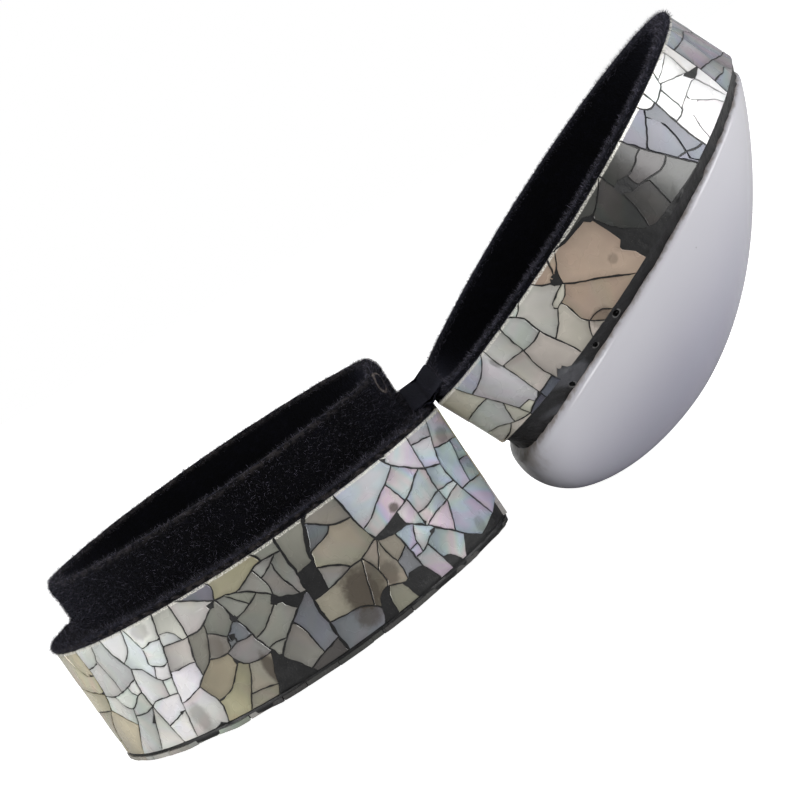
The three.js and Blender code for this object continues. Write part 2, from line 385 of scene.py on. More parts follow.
# Faces of a stack of closed rings with a pole at each end, turned outwards and numbered from start
def stackFaces(rings, start=0):
    count, steps = rings.shape[:2]
    cell = np.arange((count - 1) * steps)
    here = cell
    across = cell - cell % steps + (cell + 1) % steps
    quads = np.stack([here, across, across + steps, here + steps], 1)
    ring = np.arange(steps)
    after = (ring + 1) % steps
    first, last = count * steps, count * steps + 1
    top = (count - 1) * steps
    low = np.stack([np.full(steps, first), after, ring], 1)
    high = np.stack([np.full(steps, last), top + ring, top + after], 1)
    points = np.vstack([rings.reshape(-1, 3), rings[0].mean(0), rings[-1].mean(0)])
    triangles = np.vstack([quads[:, :3], quads[:, [0, 2, 3]], low, high])
    if signedVolume(points, triangles) < 0:
        quads, low, high = quads[:, ::-1], low[:, ::-1], high[:, ::-1]
    return points, (quads + start).tolist() + (low + start).tolist() + (high + start).tolist()


# Radius of the plan at an angle: an oval joined to a flat hinge end, for insets at tip, sides and hinge
def planRadius(angle, tip, sides, end, corner):
    cos, sin = np.cos(angle), np.sin(angle)
    full = plan["fullness"]
    x, y = np.abs(cos / (plan["reach"] - tip)), np.abs(sin / (plan["halfWidth"] - sides))
    oval = (x ** full + y ** full) ** (1 / full)
    flat = np.maximum(cos, 0) / (hingeReach - end)
    return (oval ** corner + flat ** corner) ** (-1 / corner)


def planRings(insets, heights, steps, corner):  # insets has tip, sides and end for each ring
    angle = np.linspace(0, 2 * np.pi, steps, endpoint=False)
    insets = np.asarray(insets, float)
    radius = planRadius(angle[None], insets[:, 0:1], insets[:, 1:2], insets[:, 2:3], corner)
    z = np.broadcast_to(np.asarray(heights, float)[:, None], radius.shape)
    return np.stack([radius * np.cos(angle), radius * np.sin(angle), z], -1)


# Catmull-Rom curve through the rows of points
def throughPoints(points, perSpan):
    points = np.asarray(points, float)
    padded = np.vstack([2 * points[0] - points[1], points, 2 * points[-1] - points[-2]])
    t = np.linspace(0, len(points) - 1, (len(points) - 1) * perSpan + 1)
    k = np.minimum(t.astype(int), len(points) - 2)
    f = (t - k)[:, None]
    a, b, c, d = padded[k], padded[k + 1], padded[k + 2], padded[k + 3]
    return 0.5 * (2 * b + (c - a) * f + (2 * a - 5 * b + 4 * c - d) * f ** 2 + (3 * b - a - 3 * c + d) * f ** 3)


# Smooth noise from a few seeded waves, about -1 to 1
def waves(points, length, seed, count=9):
    rng = np.random.default_rng(seed)
    direction = rng.normal(size=(count, points.shape[-1]))
    direction /= np.linalg.norm(direction, axis=1, keepdims=True)
    rate = 2 * np.pi / (length * rng.uniform(0.6, 1.5, count))
    return np.sin(points @ direction.T * rate + rng.uniform(0, 6.28, count)).sum(-1) / count ** 0.5


# The near and far sides of a wall, laid out by the length along it from the tip
def wallLine(tipShort):
    full = plan["fullness"]
    reach = plan["reach"] - tipShort
    start = math.acos((hingeReach / reach) ** (full / 2))
    angle = np.linspace(start, np.pi, 3000)
    x = reach * np.sign(np.cos(angle)) * np.abs(np.cos(angle)) ** (2 / full)
    y = -plan["halfWidth"] * np.clip(1 - np.abs(x / reach) ** full, 0, None) ** (1 / full)
    x, y = x[::-1], y[::-1]
    along = np.concatenate([[0], np.cumsum(np.hypot(np.diff(x), np.diff(y)))])
    return along, x, y


def wallPlace(tipShort):
    along, x, y = wallLine(tipShort)
    tangent = np.stack([np.gradient(x), np.gradient(y)], 1)
    tangent /= np.linalg.norm(tangent, axis=1, keepdims=True)
    tangent[0] = (0, -1)

    def place(sh, depth):
        s = np.abs(sh[..., 0])
        side = np.where(sh[..., 0] < 0, -1, 1)
        px, py = np.interp(s, along, x), np.interp(s, along, y)
        tx, ty = np.interp(s, along, tangent[:, 0]), np.interp(s, along, tangent[:, 1])
        return np.stack([px - ty * depth, (py + tx * depth) * side, sh[..., 1]], -1)

    return place, along[-1]


# Crackle: a piece of shell is split again and again along cracks. Pieces are counter-clockwise polygons.
def areaOf(piece):
    x, y = piece.T
    return 0.5 * (np.dot(x, np.roll(y, -1)) - np.dot(y, np.roll(x, -1)))


def holds(piece, point):
    x, y = (piece - point).T
    x2, y2 = np.roll(x, -1), np.roll(y, -1)
    crosses = (y > 0) != (y2 > 0)
    return np.count_nonzero(crosses & (x - y * (x2 - x) / np.where(y2 == y, 1, y2 - y) > 0)) % 2 == 1


def nearestOnEdge(piece, point):
    edge = np.roll(piece, -1, 0) - piece
    share = np.clip(((point - piece) * edge).sum(1) / np.maximum((edge ** 2).sum(1), 1e-9), 0, 1)
    at = piece + edge * share[:, None]
    k = int(np.argmin(np.linalg.norm(at - point, axis=1)))
    return k + share[k], at[k]


def withoutDoubles(points):
    points = np.array(points)
    return points[np.linalg.norm(points - np.roll(points, 1, 0), axis=1) > 0.01]


# The two parts of a piece on either side of a path whose ends are first moved onto the piece's edge
def splitAlong(piece, path):
    (a, start), (b, end) = nearestOnEdge(piece, path[0]), nearestOnEdge(piece, path[-1])
    inner = [p for p in path[1:-1] if holds(piece, p)]
    if a > b:
        a, b, start, end, inner = b, a, end, start, inner[::-1]
    i, j = int(a), int(b)
    one = withoutDoubles([start, *piece[i + 1 : j + 1], end, *inner[::-1]])
    two = withoutDoubles([end, *piece[j + 1 :], *piece[: i + 1], start, *inner])
    return one, two, np.array([start, *inner, end])


def addCrack(pieces, seams, width, path):
    along = np.concatenate([[0], np.cumsum(np.linalg.norm(np.diff(path, axis=0), axis=1))])
    middle = np.array([np.interp(along[-1] / 2, along, path[:, k]) for k in range(2)])
    for k, piece in enumerate(pieces):
        if holds(piece, middle):
            one, two, line = splitAlong(piece, path)
            if min(len(one), len(two)) > 2 and min(areaOf(one), areaOf(two)) > 0.05:
                pieces[k : k + 1] = [one, two]
                seams.append(np.hstack([line[:-1], line[1:], np.full((len(line) - 1, 1), width)]))
            return


# Random straight cracks across the long way of a piece, until its parts are small
def shatter(piece, seams, rng, size):
    if areaOf(piece) < size * rng.uniform(0.35, 1.5):
        return [piece]
    centre = piece.mean(0)
    values, vectors = np.linalg.eigh(np.cov((piece - centre).T))
    angle = math.atan2(vectors[1, 1], vectors[0, 1]) + rng.normal(0, 0.42)
    normal = np.array([math.cos(angle), math.sin(angle)])
    side = (piece - centre) @ normal - rng.uniform(-0.35, 0.35) * values[1] ** 0.5
    after = np.roll(side, -1)
    k = np.flatnonzero(side * after < 0)
    if len(k) != 2:
        return [piece]
    path = piece[k] + (np.roll(piece, -1, 0)[k] - piece[k]) * (side[k] / (side[k] - after[k]))[:, None]
    parts = [piece]
    addCrack(parts, seams, rng.uniform(0.14, 0.34), path)
    return parts if len(parts) == 1 else shatter(parts[0], seams, rng, size) + shatter(parts[1], seams, rng, size)


# A ring of evenly spread points on a piece's edge that keeps its corners
def edgeRing(piece, count):
    closed = np.vstack([piece, piece[:1]])
    along = np.concatenate([[0], np.cumsum(np.linalg.norm(np.diff(closed, axis=0), axis=1))])
    t = np.linspace(0, along[-1], count, endpoint=False)
    nearest = np.minimum(np.round(along[:-1] / along[-1] * count).astype(int), count - 1)
    t[nearest] = along[:-1]
    return np.stack([np.interp(t, along, closed[:, k]) for k in range(2)], 1)


def nearestWidth(points, seams):  # width of the seam nearest to each point
    a, b = seams[:, :2], seams[:, 2:4]
    edge = b - a
    away = points[:, None] - a
    share = np.clip((away * edge).sum(-1) / np.maximum((edge ** 2).sum(-1), 1e-9), 0, 1)
    distance = np.linalg.norm(away - edge * share[..., None], axis=-1)
    return seams[np.argmin(distance, 1), 4]


def inward(ring, gap):  # each point of the rings moved inwards by its own gap
    edge = np.roll(ring, -1, 1) - ring
    edge = edge / np.maximum(np.linalg.norm(edge, axis=-1, keepdims=True), 1e-6)
    normal = np.stack([-edge[..., 1], edge[..., 0]], -1)
    before = np.roll(normal, 1, 1)
    share = 1 + (normal * before).sum(-1, keepdims=True)
    return ring + (normal + before) / np.maximum(share, 0.45) * gap[..., None]


crackle = {
    "ringPoints": 40, "bevel": 0.06, "thickness": 0.7, "tilt": 0.012, "smallest": 0.35, "edgeGap": 0.06,
    "bend": 0.4, "bendLength": 14.0, "jag": 0.035, "jagLength": 1.3, "ragged": 0.28, "raggedLength": 1.7,
    "brightness": (0.84, 1.12), "slope": 0.12, "edgeShade": 0.8, "cracksDrawn": 0.74,
}

# Tones of the shell: screen colour and pearl
tones = {
    "white": ((255, 255, 252), 0.25), "silver": ((230, 231, 224), 0.25), "lilac": ((210, 207, 215), 0.9),
    "cream": ((208, 198, 166), 0.1), "olive": ((166, 158, 130), 0.1), "grey": ((140, 138, 130), 0.15),
    "iron": ((74, 73, 71), 0.15), "slate": ((118, 120, 126), 0.3), "peach": ((174, 153, 134), 0.1),
    "taupe": ((152, 144, 128), 0.2), "dark": ((78, 77, 74), 0.1), "blue": ((206, 216, 230), 0.9),
    "bright": ((255, 255, 255), 0.1), "steel": ((86, 88, 99), 0.4), "mauve": ((192, 188, 196), 0.6),
    "ivory": ((198, 191, 179), 0.15), "pale": ((206, 204, 197), 0.2),
    "pearl": ((224, 225, 236), 0.75),
}


def splitShell(m, rng):
    c = crackle
    pieces = [np.array(m["outline"], float)]
    after = np.roll(pieces[0], -1, 0)
    seams = [np.hstack([pieces[0], after, np.full((len(after), 1), 2 * c["edgeGap"])])]
    for width, *line in m["cracks"]:
        path = np.array(line, float).reshape(-1, 2)
        addCrack(pieces, seams, width, throughPoints(path, 2) if len(path) > 2 else path)
    made = []
    for piece in pieces:
        if any(holds(piece, np.array(spot)) for spot in m["missing"]):
            continue
        made += shatter(piece, seams, rng, m["shard"]) if piece[:, 0].mean() < m["shatterBelow"] else [piece]
    return made, np.vstack(seams)


# Shards as closed bodies on a grid of ring and turn, laid on a surface that place() gives
def makeShards(name, m, place, toRow, material, body, nodes, seed):
    c = crackle
    rng = np.random.default_rng(seed)
    pieces, seams = splitShell(m, rng)
    edge = np.array([edgeRing(p, c["ringPoints"]) for p in pieces])
    width = np.array([nearestWidth(ring, seams) for ring in edge])
    ragged = 1 + c["ragged"] * waves(edge, c["raggedLength"], seed + 6)
    gap = width * m.get("cracksDrawn", c["cracksDrawn"]) / 2 * ragged
    low, high = np.array(m["outline"]).min(0), np.array(m["outline"]).max(0)
    room = np.clip(np.minimum(edge - low, high - edge) / 1.5, 0, 1)
    free = np.clip((m["shatterBelow"] + 4 - edge[..., :1]) / 6, 0, 1)
    shift = np.stack([waves(edge, c["bendLength"], seed + k) for k in (1, 2)], -1) * c["bend"] * free
    shift += np.stack([waves(edge, c["jagLength"], seed + k) for k in (3, 4)], -1) * c["jag"]
    edge = inward(edge + shift * room, gap)
    centre = edge.mean(1, keepdims=True)
    for along, up, reach in m["holes"]:
        q = edge - (along, up)
        ragged = reach * (1 + 0.22 * waves(edge, 1.4, seed + 5))
        away = centre - edge
        far = np.maximum(np.linalg.norm(away, axis=-1), 1e-6)
        towards = away / far[..., None]
        dot = (q * towards).sum(-1)
        under = dot ** 2 - (q ** 2).sum(-1) + ragged ** 2
        move = np.clip(-dot + np.sqrt(np.maximum(under, 0)), 0, 0.8 * far)
        near = (q ** 2).sum(-1) < ragged ** 2
        edge = edge + towards * np.where(near, move, 0)[..., None]
    kept = np.array([areaOf(ring) > c["smallest"] for ring in edge])
    edge = edge[kept]
    centre = edge.mean(1, keepdims=True)
    face = inward(edge, np.full(edge.shape[:2], c["bevel"]))
    count = len(edge)
    tilt = rng.normal(0, c["tilt"], (count, 1, 2))
    sink = rng.uniform(0.0, 0.03, (count, 1))

    def level(flat, depth):
        proud = sink + np.clip(((flat - centre) * tilt).sum(-1), -0.025, 0.025) + 0.03
        return flat, place(flat, proud + depth)

    stack = [level(centre + (edge - centre) * share, c["thickness"]) for share in (0.02, 1)]
    stack += [level(edge, c["bevel"])] + [level(centre + (face - centre) * share, 0) for share in (1, 0.66, 0.05)]
    flat = np.stack([f for f, _ in stack], 1)
    solid = np.stack([s for _, s in stack], 1)
    names = [tone for tone, spots in m["tones"].items() for _ in spots]
    spots = np.array([spot for spots in m["tones"].values() for spot in spots], float)
    points, faces, tintRows, pearlRows, wallRows, grainRows = [], [], [], [], [], []
    start = 0
    for k in range(count):
        shardPoints, shardFaces = stackFaces(solid[k], start)
        faces += shardFaces
        points.append(shardPoints)
        start += len(shardPoints)
        spread = np.vstack([flat[k].reshape(-1, 2), flat[k, 0].mean(0), flat[k, -1].mean(0)])
        middle = centre[k, 0]
        seen = middle if middle[0] > m["shatterBelow"] else np.array([middle[0] + m["toneShift"], middle[1]])
        rgb, pearl = tones[names[int(np.argmin(np.linalg.norm(spots - seen, axis=1)))]]
        turn = rng.uniform(0, 3.14)
        cos, sin = math.cos(turn), math.sin(turn)
        slope = rng.normal(0, c["slope"], 2)
        shade = 1 + np.clip((spread - middle) @ slope / max(areaOf(edge[k]) ** 0.5 / 2, 0.5), -0.26, 0.26)
        tint = np.array(colour(*rgb)) * rng.uniform(*c["brightness"]) * (1 + rng.normal(0, 0.02, 3))
        wallRows.append(spread)
        grainRows.append(spread @ np.array([[cos, -sin], [sin, cos]]) + rng.uniform(0, 60, 2))
        # Painted shade: each shard darker towards its rim beside the cracks, partly also resin stain in the shell
        shade[: 4 * c["ringPoints"]] *= c["edgeShade"]
        tintRows.append(np.hstack([np.clip(tint * shade[:, None], 0, 1), np.ones((len(spread), 1))]))
        pearlRows.append(np.full(len(spread), np.clip(pearl + rng.normal(0, 0.12), 0, 1)))
    attributes = {"tint": np.vstack(tintRows), "pearl": np.concatenate(pearlRows)}
    maps = {"wall": np.vstack(wallRows), "grain": np.vstack(grainRows)}
    made = makePiece(name, toRow(np.vstack(points)), faces, material, body, nodes,
                     attributes, maps, 35)
    print(name, count, "shards")
    return made


def nodesOf(prefix):
    return sorted(n for n in frame["nodes"] if n.startswith(prefix))


# Each crack: its width, then places along the wall from the tip and up the wall in turn.
# Holes: place and radius. Missing: a place in each shard that has fallen out.
baseWall = {
    "cracks": [
        (0.3, 1, 20.1, -1, 1.2), (0.3, -9, 20.1, -13, 1.2), (0.3, -22, 20.1, -20, 1.2), (0.3, -34, 20.1, -37, 1.2),
        (0.3, -45, 20.1, -42, 1.2), (0.3, -55, 20.1, -57, 1.2), (0.3, -66, 20.1, -62, 1.2),
        (0.3, -78, 20.1, -80, 1.2),
        (0.3, 16.3, 20.1, 16.6, 16, 16, 12.5, 14.6, 9.8, 12, 7.7, 10, 5.6, 8.6, 3, 8, 1.2),
        (0.3, 23.6, 20.1, 24, 17.6, 25, 15.6, 25.6, 14.3, 24.9, 12.8, 24.5, 10.5, 24.8, 7, 25.4, 3.6, 25.9, 1.2),
        (0.3, 34.7, 20.1, 33.5, 16.5, 32.5, 13.5, 31.3, 10.8, 30.2, 7, 29.6, 5, 28.6, 1.2),
        (0.3, 37.8, 20.1, 37.8, 17.5, 37.5, 14.8, 36.6, 12.4, 36, 10.6, 35.9, 8.8, 34.4, 7.7, 35, 6.2, 35.7, 4.5,
         35.5, 2.8, 35, 1.2),
        (0.5, 55.7, 20.1, 55.6, 16, 55.8, 14.5, 55.5, 12, 55.6, 10, 55.3, 8, 55.6, 6, 55.4, 4, 55.7, 1.2),
        # round the tip
        (0.24, 14, 9.2, 9, 9.1, 4, 8.2, 0, 7.5), (0.24, 15.8, 12.2, 11, 13, 6, 13.6, 0, 13.2),
        (0.24, 16.4, 15.6, 14.8, 15.4, 12.5, 17.8, 11.5, 20.1), (0.24, 8.8, 3.6, 4, 3.8, 0, 3.6),
        (0.24, 6.4, 13.5, 6, 17, 7, 20.1), (0.24, 6.5, 8.8, 6.2, 11, 7, 13.5), (0.24, 5.4, 3.8, 5.2, 6.2, 5, 8.4),
        # first and second plates beside it
        (0.24, 16, 11.7, 18, 11.3, 20.5, 11.6, 22.4, 12, 24.7, 12.8), (0.24, 16.5, 16.6, 19.6, 17.1, 21.2, 20.1),
        (0.24, 19.9, 17.5, 20.2, 15.5, 20.6, 13.5, 20.5, 11.6),
        (0.24, 18.2, 11.4, 18.5, 10.4, 19.3, 9.3, 20.4, 8.7, 22, 9.4, 23.3, 10.3, 24.5, 10.5),
        (0.24, 22.4, 12, 22.6, 11, 23.3, 10.3),
        (0.24, 20.4, 8.7, 19.9, 7.6, 19.4, 6.6, 18.2, 5.2, 16.8, 3.7, 15.4, 2.2, 14.8, 1.2),
        (0.24, 19.9, 7.5, 22.4, 7.4, 24.8, 8), (0.24, 24.5, 7.9, 23.3, 6, 22.6, 4.8, 21.4, 2.8, 20.3, 1.2),
        (0.24, 14.2, 9.4, 16.4, 7.9, 18.9, 6.1), (0.24, 28.8, 20.1, 29.3, 18.4, 29.9, 16.3, 31.5, 16.6, 33.5, 16.3),
        (0.24, 28.5, 20.1, 27.9, 18.3, 27.2, 16.9, 26.2, 16.1, 25.2, 15.6),
        (0.24, 29.8, 16.4, 29.5, 15, 29.1, 13.7, 30, 13.1, 31.2, 12.7, 32.3, 12.9),
        (0.24, 25.6, 14.3, 27.4, 13.6, 28.3, 12.2, 29.4, 10.9, 31.2, 10.7), (0.24, 28.8, 11.6, 29.7, 13.1),
        (0.24, 24.8, 8, 25.8, 8.5, 28.9, 8.4, 30.6, 8.2), (0.24, 29.5, 10.8, 29.2, 9.8, 28.9, 8.5),
        (0.24, 25.3, 4.3, 27.4, 4.9, 29.6, 5.6), (0.24, 33.4, 15.1, 34.5, 15, 35.6, 14.9, 37.4, 14.7),
        (0.24, 31.6, 11.5, 33, 11.2, 34.5, 11.3, 36.1, 11.1), (0.24, 30, 6.6, 31.8, 6.9, 34.4, 7.7),
        (0.12, 33.9, 16.9, 35.2, 16.7, 36.1, 15.9, 36.3, 14.9),
        # the wide grey stretch in the middle
        (0.3, 38.8, 20.1, 40, 19.5, 41.6, 18.6, 43.9, 17.3, 45.8, 17.1, 47.3, 16.6, 49, 17.2, 50.8, 18, 52.5, 18.4,
         54.6, 18.2, 55.5, 18.1),
        (0.35, 44.1, 17.3, 44.7, 15.4, 44.9, 13.7, 45.6, 11.8, 45.8, 10, 46.7, 7.4, 47.4, 5.6, 48.8, 3.6, 50.4, 1.2),
        (0.3, 37.5, 14.8, 39.2, 14.7, 40.8, 15.2, 42.2, 16.2, 44, 17.2),
        (0.24, 44.2, 20.1, 44.8, 19.1, 44.4, 18, 44.1, 17.4), (0.35, 51.7, 20.1, 52.3, 19.3, 52.6, 18.5),
        (0.3, 47.3, 16.6, 48.6, 15.9, 50, 14.8, 51.2, 13.8, 51.8, 12.8, 53, 12.3, 54.3, 11.6, 55.4, 11.5),
        (0.24, 50.9, 18, 51.3, 16.3, 51.6, 15, 51.4, 13.6), (0.24, 51.3, 16.3, 53, 17.1, 54.6, 18.1),
        (0.24, 53.6, 17.4, 53.5, 15.6, 53.9, 13.9, 54.6, 12.1),
        (0.4, 47.4, 5.5, 49.4, 7.4, 51.4, 8.9, 53.4, 10.3, 55.4, 11.7),
        (0.24, 45.9, 9.7, 47.3, 10, 48.7, 10.9, 50.6, 12.3, 51.6, 13), (0.24, 51.8, 12.8, 52.1, 11.4, 53.2, 10.2),
        (0.24, 46.7, 7.6, 48, 7.8, 49.5, 7.5), (0.24, 45, 13.4, 46.6, 13.8, 48.2, 14.4, 49.6, 15.1),
        (0.24, 45.6, 17.1, 46.6, 15.8, 47.9, 14.4), (0.24, 49.9, 1.9, 51.6, 2.6, 53.6, 3.1, 55.4, 3.6),
        (0.24, 51.4, 8.9, 52.1, 7.4, 52.4, 5.4, 52.6, 3.2),
        (0.24, 40.7, 15.1, 40.3, 13.8, 39.4, 12.2, 38.4, 10.5, 37, 9.5, 35.9, 8.8),
        (0.24, 38.3, 10.4, 39.6, 10, 41.2, 9.9, 42.4, 10.4, 43.3, 10.6, 44.5, 10.4, 45.7, 10.5),
        (0.24, 41.1, 9.9, 41.4, 9, 41.7, 8.2, 42.9, 7.2, 44.8, 6.9, 46.8, 7),
        (0.24, 41.6, 8.1, 40.2, 6.8, 38.7, 5.4, 37.2, 4.8, 35.7, 4.5),
        (0.24, 42.9, 7.1, 41.8, 5, 40.3, 2.9, 39.1, 1.2), (0.24, 46.5, 7, 46, 5.6, 45.3, 4.2, 44.8, 2.6, 44, 1.2),
        (0.24, 40.6, 3.2, 42.4, 3.1, 44.8, 2.6), (0.24, 40.3, 13.8, 41.4, 13.1, 42.6, 12, 43.9, 13, 44.8, 13.7),
        (0.24, 42.6, 12, 42.2, 11, 42, 10.2), (0.24, 42.8, 12, 43.4, 11.2, 43.3, 10.6),
        # towards the hinge end
        (0.3, 85.2, 20.1, 84.2, 17.8, 83.3, 15.6, 82.7, 13.6, 83, 11.3, 83.6, 9.1, 84.8, 6, 86.4, 2, 86.7, 1.2),
        (0.3, 74.4, 20.1, 75.6, 18.2, 77.2, 16.9, 79, 15.4, 80.8, 14.5, 82.7, 13.8),
        (0.3, 55.7, 9.7, 58, 9.8, 60.4, 10.1, 62.3, 10.5, 64, 10.5, 65.8, 11.1, 67.3, 11.6, 70, 12, 72.2, 12.6, 74.3,
         13.1, 76, 13.8, 77.6, 14.8, 79, 15.4), (0.4, 65.8, 20.1, 66.1, 18, 66.3, 15.6, 66.9, 13, 67.4, 11.6),
        (0.35, 67.3, 11.5, 68, 11, 70.4, 10.4, 72.4, 10.4, 73.8, 9.4, 75.3, 8.1, 76.8, 6.5, 78.3, 5.1, 80, 3.1, 81.8,
         1.2), (0.3, 72.2, 12.6, 72.3, 10.4), (0.24, 74.6, 13.2, 74.8, 11.4, 74.9, 8.6),
        (0.24, 74.8, 10.5, 77, 10.5, 79.1, 11.1, 81.2, 10.9, 83.1, 10.7),
        (0.24, 75.2, 8.4, 77.4, 9, 80, 9.2, 81.6, 9.7, 83.3, 9.9), (0.24, 80.1, 14.9, 79.7, 13, 79.8, 11.1),
        (0.24, 79.8, 11.1, 80, 9.3), (0.24, 80.3, 20.1, 80.1, 17.6, 80, 14.9),
        (0.24, 80.2, 18.6, 82.4, 18.2, 84.2, 17.8), (0.24, 83.5, 16.1, 85.3, 15.6, 88.6, 15.2),
        (0.24, 83.7, 8.9, 86, 8.8, 88.6, 8.5), (0.24, 87, 15.3, 86.6, 13.4, 86.1, 11.4, 85.8, 8.8),
        (0.24, 86.3, 12.3, 88.6, 12), (0.24, 80.2, 9.3, 79.4, 7.2, 78.4, 5.1),
        (0.24, 79.3, 3.9, 78.4, 2.5, 77.6, 1.2),
        (0.24, 67, 13.7, 68.6, 14.2, 70.2, 15.3, 72, 16.3, 73.2, 16.8, 75.6, 18.3),
        (0.24, 73.1, 16.7, 73.7, 14.9, 74.3, 13), (0.35, 70.2, 10.5, 70.5, 8.4, 70.8, 6, 71, 4.2, 72.3, 1.2),
        (0.24, 70.8, 5.9, 72.4, 5.9, 74.2, 6.8, 75.9, 7.5), (0.24, 72.2, 6, 72.3, 8, 73.2, 9.8),
        (0.24, 70.7, 7.2, 72.3, 7.4), (0.3, 73.4, 6.4, 73.9, 4.6, 74.5, 2.6, 74.7, 1.2),
        (0.24, 74.5, 3.3, 75.5, 2.9, 76.4, 1.8, 76.7, 1.2),
        (0.24, 76.9, 1.9, 79, 2.1, 81.9, 1.9, 84.5, 2.6, 86.4, 3.2), (0.24, 86.2, 3, 88.6, 4.2),
        (0.8, 60.7, 20.1, 59.7, 18, 58.6, 15.4, 58.2, 13, 57.8, 9.7), (0.24, 55.7, 14, 58.3, 14.4),
        (0.35, 60.2, 19.2, 61.6, 18.2, 63, 17, 64.4, 16.4, 66.2, 16.1),
        (0.24, 63, 17, 62.2, 16.2, 60.8, 15.8, 58.8, 15.4), (0.35, 58.2, 13.2, 59.8, 12.5, 61.2, 11.6, 62.3, 10.6),
        (0.24, 61.8, 1.2, 62.4, 2.2, 63.2, 4.4, 65, 5.2, 67.6, 4, 68.6, 4.7, 71, 4.3),
        (0.24, 64.2, 1.2, 64.4, 3.8, 65.2, 5), (0.24, 67.9, 1.2, 67.4, 3.2, 67, 4.3),
        (0.24, 55.6, 5.9, 58, 5.5, 60.2, 5.2, 61.8, 4.3, 62.6, 3.2),
        (0.24, 64.1, 10.5, 63.4, 8.6, 62.7, 6.5, 62, 4.2),
        (0.24, 64.2, 10.5, 64.9, 8.8, 65.2, 7.7, 65.4, 6, 65, 5.2), (0.24, 67.4, 11.3, 66.4, 9.4, 65.2, 7.8),
        (0.24, 67.5, 11.2, 67.6, 9.2, 68.2, 7, 68.2, 5, 68, 4.3), (0.24, 68.2, 7, 69.4, 7.6, 70.5, 8.2),
    ],
    "missing": [
        (53.6, 11.4), (47, 3.5), (70, 11.4), (75.3, 1.9), (80, 1.5), (84.6, 1.7), (87.6, 2), (57, 12), (63, 2.2),
        (69.5, 2.5),
    ],
    "holes": [
        (15.6, 15.6, 0.4), (22.9, 5.8, 0.5), (28.9, 5.4, 0.3), (43.1, 16.9, 0.45), (44.8, 13.7, 0.45), (43, 11.6, 0.5),
        (41.5, 8.3, 0.4), (51.2, 12.8, 0.7), (47.4, 5.7, 0.3), (75.2, 7.4, 0.45), (75, 8.9, 0.35), (75, 19.8, 0.5),
        (33.5, 1, 0.7), (-30, 5, 0.9), (-52.5, 12, 1.1), (-70, 3, 1.2), (-15, 16, 0.6), (-38, 17, 0.5), (-61, 7, 0.6),
    ],
    "tones": {
        "cream": [(4, 5), (12, 5), (4, 11), (4, 17), (14, 3), (14.5, 14), (9, 15), (10, 9)],
        "olive": [(38.5, 7), (37.5, 3), (40.3, 5), (49, 19)],
        "silver": [(18, 14), (22, 17), (20, 5), (23, 3), (31, 4)],
        "pale": [(35.5, 17), (34, 13), (40, 17)],
        "white": [(27, 17), (27, 11), (27, 6), (31, 15), (27, 2.5), (33, 9)],
        "pearl": [(70, 17.5), (68.7, 12.9), (85, 12.5), (78, 18.5), (82, 16)],
        "grey": [(38, 12), (42.5, 14.5), (43.8, 8.8), (46.5, 15.5), (48, 12.5), (50, 9.5), (53.8, 19.4), (52.9, 15),
                 (57.5, 17), (59.5, 11.3), (50.5, 5), (65, 9.7), (63.5, 18.5)],
        "slate": [(42.5, 19.2), (44.5, 12), (53.7, 7), (57, 3.5), (57, 8), (60.5, 17.5), (69, 6.3)],
        "taupe": [(43, 2), (61.5, 14), (60, 8), (66.7, 7.5), (66, 3), (66, 10.5), (69, 9.3)], "dark": [(53, 2.3)],
        "lilac": [(71.8, 14.6), (73.5, 11.5), (76, 15.5), (77.5, 12.5), (81, 12.5), (77, 9.8), (77.5, 7.2), (81.5, 6.5),
                  (72.3, 3.8), (76, 4.5), (86.5, 17.8), (87.6, 13.5), (87, 10), (86.5, 5.5), (79, 2), (82, 19.3),
                  (72, 9)],
    },
    "shard": 17, "shatterBelow": 0, "toneShift": 90,
}
